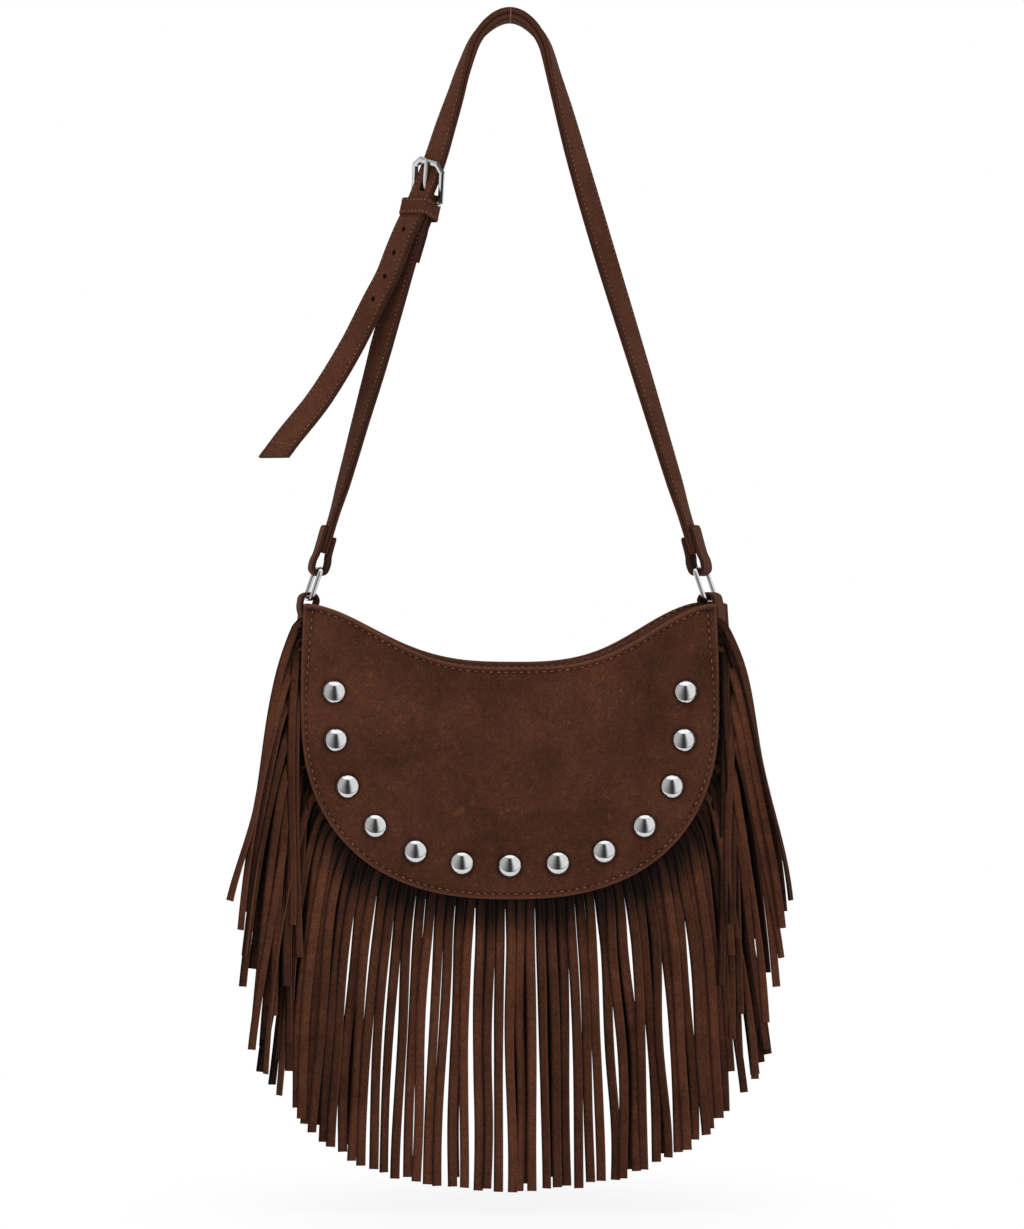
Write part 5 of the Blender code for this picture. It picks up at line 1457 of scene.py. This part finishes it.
def make_ring(side):
    """Ring: a round wire carried along a rectangle with round corners."""
    top, down, across = ring_axes(side)
    r, half, far = RING_CORNER, RING_SPAN / 2 - RING_CORNER, RING_LENGTH - RING_CORNER
    line = rounded_loop(((r, half, 90), (r, -half, 180), (far, -half, 270), (far, half, 0)), r, 10, 96)
    centre = top + line[:, :1] * down + line[:, 1:] * across
    out = np.cross(across, down)
    aside = np.cross(tangents_round(centre), out)
    rings = carried(centre, aside, out, round_section(0.5 * RING_WIRE, 24))
    add_piece(f"{side}_wire_ring", sweep(rings, closed=True), METAL, [f"{side}_ring"], f"ring_on_{side}")


def bevelled(w, h, c, d):
    """A bar's section with cut and softened corners, as (across, out) pairs."""
    e = SOFT_EDGE
    quarter = [(w, h - d), (w - e, h - d + e), (w - c + e, h - e), (w - c, h)]
    right = [(x, -y) for x, y in quarter[::-1]] + quarter
    points = right[4:] + [(-x, y) for x, y in right[::-1]] + right[:4]
    return points[-1:] + points[:-1]


def make_buckle_frame():
    """Buckle frame: a bevelled bar carried round a rectangle with cut corners."""
    top, heel, down, out, across = frame_axes()
    half, length = FRAME_WIDTH / 2 - FRAME_BAR / 2, float(np.linalg.norm(heel - top))
    cut, low_cut = FRAME_CORNER, HEEL_CORNER
    corners = [(0.0, half - cut), (cut, half), (length - low_cut, half), (length, half - low_cut)]
    corners = np.array(corners + [(x, -y) for x, y in corners[::-1]])
    bar = bevelled(0.5 * FRAME_BAR, 0.5 * FRAME_THICKNESS, 0.0013, 0.0010)
    heel_bar = bevelled(HEEL_RADIUS, HEEL_RADIUS, 0.6 * HEEL_RADIUS, 0.6 * HEEL_RADIUS)
    rings = []
    for i, here in enumerate(corners):
        before, after = corners[i - 1], corners[(i + 1) % len(corners)]
        into, onward = unit(here - before), unit(after - here)
        for other, mitre in ((before, into), (None, unit(into + onward)), (after, onward)):
            normal = np.array([mitre[1], -mitre[0]])
            if other is None:
                point = here - SOFT_EDGE * normal
            else:
                point = here + min(BEND_REACH, 0.3 * np.linalg.norm(other - here)) * unit(other - here)
            rings.append([top + (point[0] + normal[0] * p) * down + (point[1] + normal[1] * p) * across
                          + q * out for p, q in (heel_bar if i in (3, 4) else bar)])
    add_piece("buckle_bars", sweep(rings, closed=True), METAL, ["buckle_frame"], "frame_of_buckle", angle=25)


def make_prong():
    """Prong: a flat bar round the heel bar, straight to its tip, its sides a superellipse."""
    _, heel, down, out, across = frame_axes()
    leave, tip = prong_line()
    turn = [heel + PRONG_EYE * (math.cos(a) * out - math.sin(a) * down)
            for a in np.radians((-292, -248, -204, -160, -120, -80, -40))]
    line = [leave + share * (tip - leave) for share in (0.12, 0.35, 0.65, 1.0)]
    centre = curve_through(np.array([*turn, *line]), 90)
    outward = np.cross(across, tangents(centre))
    a = round_angles(20, 0.5)
    wide = 0.5 * PRONG_WIDTH * np.sign(np.cos(a)) * np.abs(np.cos(a)) ** 0.45
    thick = 0.5 * PRONG_THICKNESS * np.sign(np.sin(a)) * np.abs(np.sin(a)) ** 0.6
    run = along_of(centre)
    taper = 1.0 - 0.25 * smoothstep((run - run[-1] + 0.008) / 0.008)
    section = np.stack(np.broadcast_arrays(taper[:, None] * wide, thick), -1)
    add_piece("buckle_tongue", sweep(carried(centre, across, outward, section)), METAL, ["buckle_prong"],
              "prong_of_buckle")


# Floor, light and camera

WHITE = (1.0, 1.0, 1.0)
FLOOR_Z = -0.832
AMBIENT = 0.50
SENSOR = 36.0
CAMERA_REACH = 2.8
PICTURE_HEIGHT = 1229 * 0.7 * MM
PICTURE_MIDDLE = (0.0014, -0.41475)
ZONE_DARK = 0.045


def make_floor():
    """A floor that is white to the camera; in front of the bag, mirror rays see it dim, then clear."""
    reach = 9
    mesh = bpy.data.meshes.new("floor")
    mesh.from_pydata([(x * reach, y * reach, FLOOR_Z) for x, y in ((-1, -1), (1, -1), (1, 1), (-1, 1))],
                     [], [(0, 1, 2, 3)])
    mat, n = new_material("floor_paint")
    paint = n.shade({"Base Color": (0.90, 0.90, 0.90), "Roughness": 0.9, "Specular IOR Level": 0.0})
    glow, dim = (n.add("Emission", {"Color": WHITE, "Strength": bright}).outputs[0] for bright in (1.0, 0.05))
    place = n.place.outputs["Object"]
    shift = n.add("Mapping", {"Vector": place, "Location": (0.0, 0.0, -FLOOR_Z)}).outputs["Vector"]
    away = n.add("VectorMath", {0: shift}, operation="LENGTH").outputs["Value"]
    far = n.stretch(away, 0.06, 0.30, 0.86, 1.0, "SMOOTHSTEP")
    path = n.add("LightPath").outputs
    seen = n.math("MAXIMUM", *(path[f"Is {kind} Ray"] for kind in ("Camera", "Glossy", "Transmission")))
    last = n.mix_shader(n.math("MULTIPLY", far, seen), paint, glow)
    y = n.add("SeparateXYZ", {0: place}).outputs["Y"]
    for start, shader in ((-0.195, dim), (-0.235, n.add("BsdfTransparent").outputs[0])):
        ahead = n.stretch(y, start, start - 0.01)
        last = n.mix_shader(n.math("MULTIPLY", path["Is Glossy Ray"], ahead), last, shader)
    n.put(mat.node_tree.nodes["Material Output"], {"Surface": last})
    mesh.materials.append(mat)
    linked("floor", mesh)


def make_world():
    """White for the camera; for mirror rays, a studio of soft bright and dark zones."""
    world = bpy.data.worlds.new("studio")
    bpy.context.scene.world = world
    world.use_nodes = True
    n = Nodes(world.node_tree)
    soft = world.node_tree.nodes["Background"]
    n.put(soft, {"Color": WHITE, "Strength": AMBIENT})
    x, y, z = n.add("SeparateXYZ", {0: n.place.outputs["Generated"]}).outputs
    level = n.math("POWER", n.math("ADD", n.math("MULTIPLY", x, x), n.math("MULTIPLY", y, y)), 0.5)
    turn = n.math("MULTIPLY", n.math("DIVIDE", x, level), n.stretch(z, -1.0, 1.0, 0.55, 1.45))
    zones = [n.stretch(value, low, high, ZONE_DARK, bright, "SMOOTHSTEP") for value, low, high, bright in (
        (turn, -0.02, -1.00, 0.58), (turn, 0.13, 0.62, 1.00), (y, -0.02, 0.30, 0.42), (z, 0.79, 0.87, 1.40))]
    mirror, white = (n.add("Background", {"Color": WHITE, "Strength": bright}).outputs[0]
                     for bright in (n.math("MAXIMUM", *zones), 1.0))
    path = n.add("LightPath").outputs
    first = n.mix_shader(path["Is Glossy Ray"], soft.outputs[0], mirror)
    seen = n.math("MAXIMUM", path["Is Camera Ray"], path["Is Transmission Ray"])
    n.put(world.node_tree.nodes["World Output"], {"Surface": n.mix_shader(seen, first, white)})


def soft_box(name, place, aim_z, width, height, power):
    """An area light turned to a point on the bag's middle line, unseen in mirrors."""
    light = bpy.data.lights.new(name, "AREA")
    light.shape = "RECTANGLE"
    light.size, light.size_y = width, height
    light.energy = power
    obj = linked(name, light)
    obj.location = place
    obj.rotation_euler = (Vector((0.0, 0.0, aim_z)) - Vector(place)).to_track_quat("-Z", "Y").to_euler()
    obj.visible_glossy = False


def make_camera():
    camera = bpy.data.cameras.new("camera")
    camera.sensor_width = SENSOR
    camera.lens = SENSOR * CAMERA_REACH / PICTURE_HEIGHT
    camera.clip_end = 50.0
    obj = linked("camera", camera)
    obj.location = (PICTURE_MIDDLE[0], -CAMERA_REACH, PICTURE_MIDDLE[1])
    obj.rotation_euler = (math.radians(90.0), 0.0, 0.0)
    bpy.context.scene.camera = obj


def declare_sheets():
    """The front and back panels' outlines, worked out and not used."""
    for name, (_, _, mouth) in COVERS.items():
        x, z = np.vstack([edge(np.linspace(0, 1, 400)), mouth_line(mouth, 400)[::-1]]).T


bpy.context.scene.view_settings.view_transform = "Standard"
make_camera()
make_world()
make_floor()
soft_box("key_left", (-1.55, -1.75, 0.10), -0.45, 1.5, 2.0, 17.0)
soft_box("fill_right", (1.70, -1.45, -0.10), -0.45, 1.3, 2.0, 11.0)
soft_box("overhead", (0.0, -0.55, 1.25), -0.40, 1.6, 0.9, 11.0)

make_covers()
make_side_band()
make_lining_pouch()
make_fringe()
make_studs()
make_snap()
make_long_strap()
make_short_strap()
make_keeper()
make_buckle_frame()
make_prong()
for side in SIDES:
    make_ring(side)
    make_strap_tab(side)
    make_bag_tab(side)
declare_sheets()
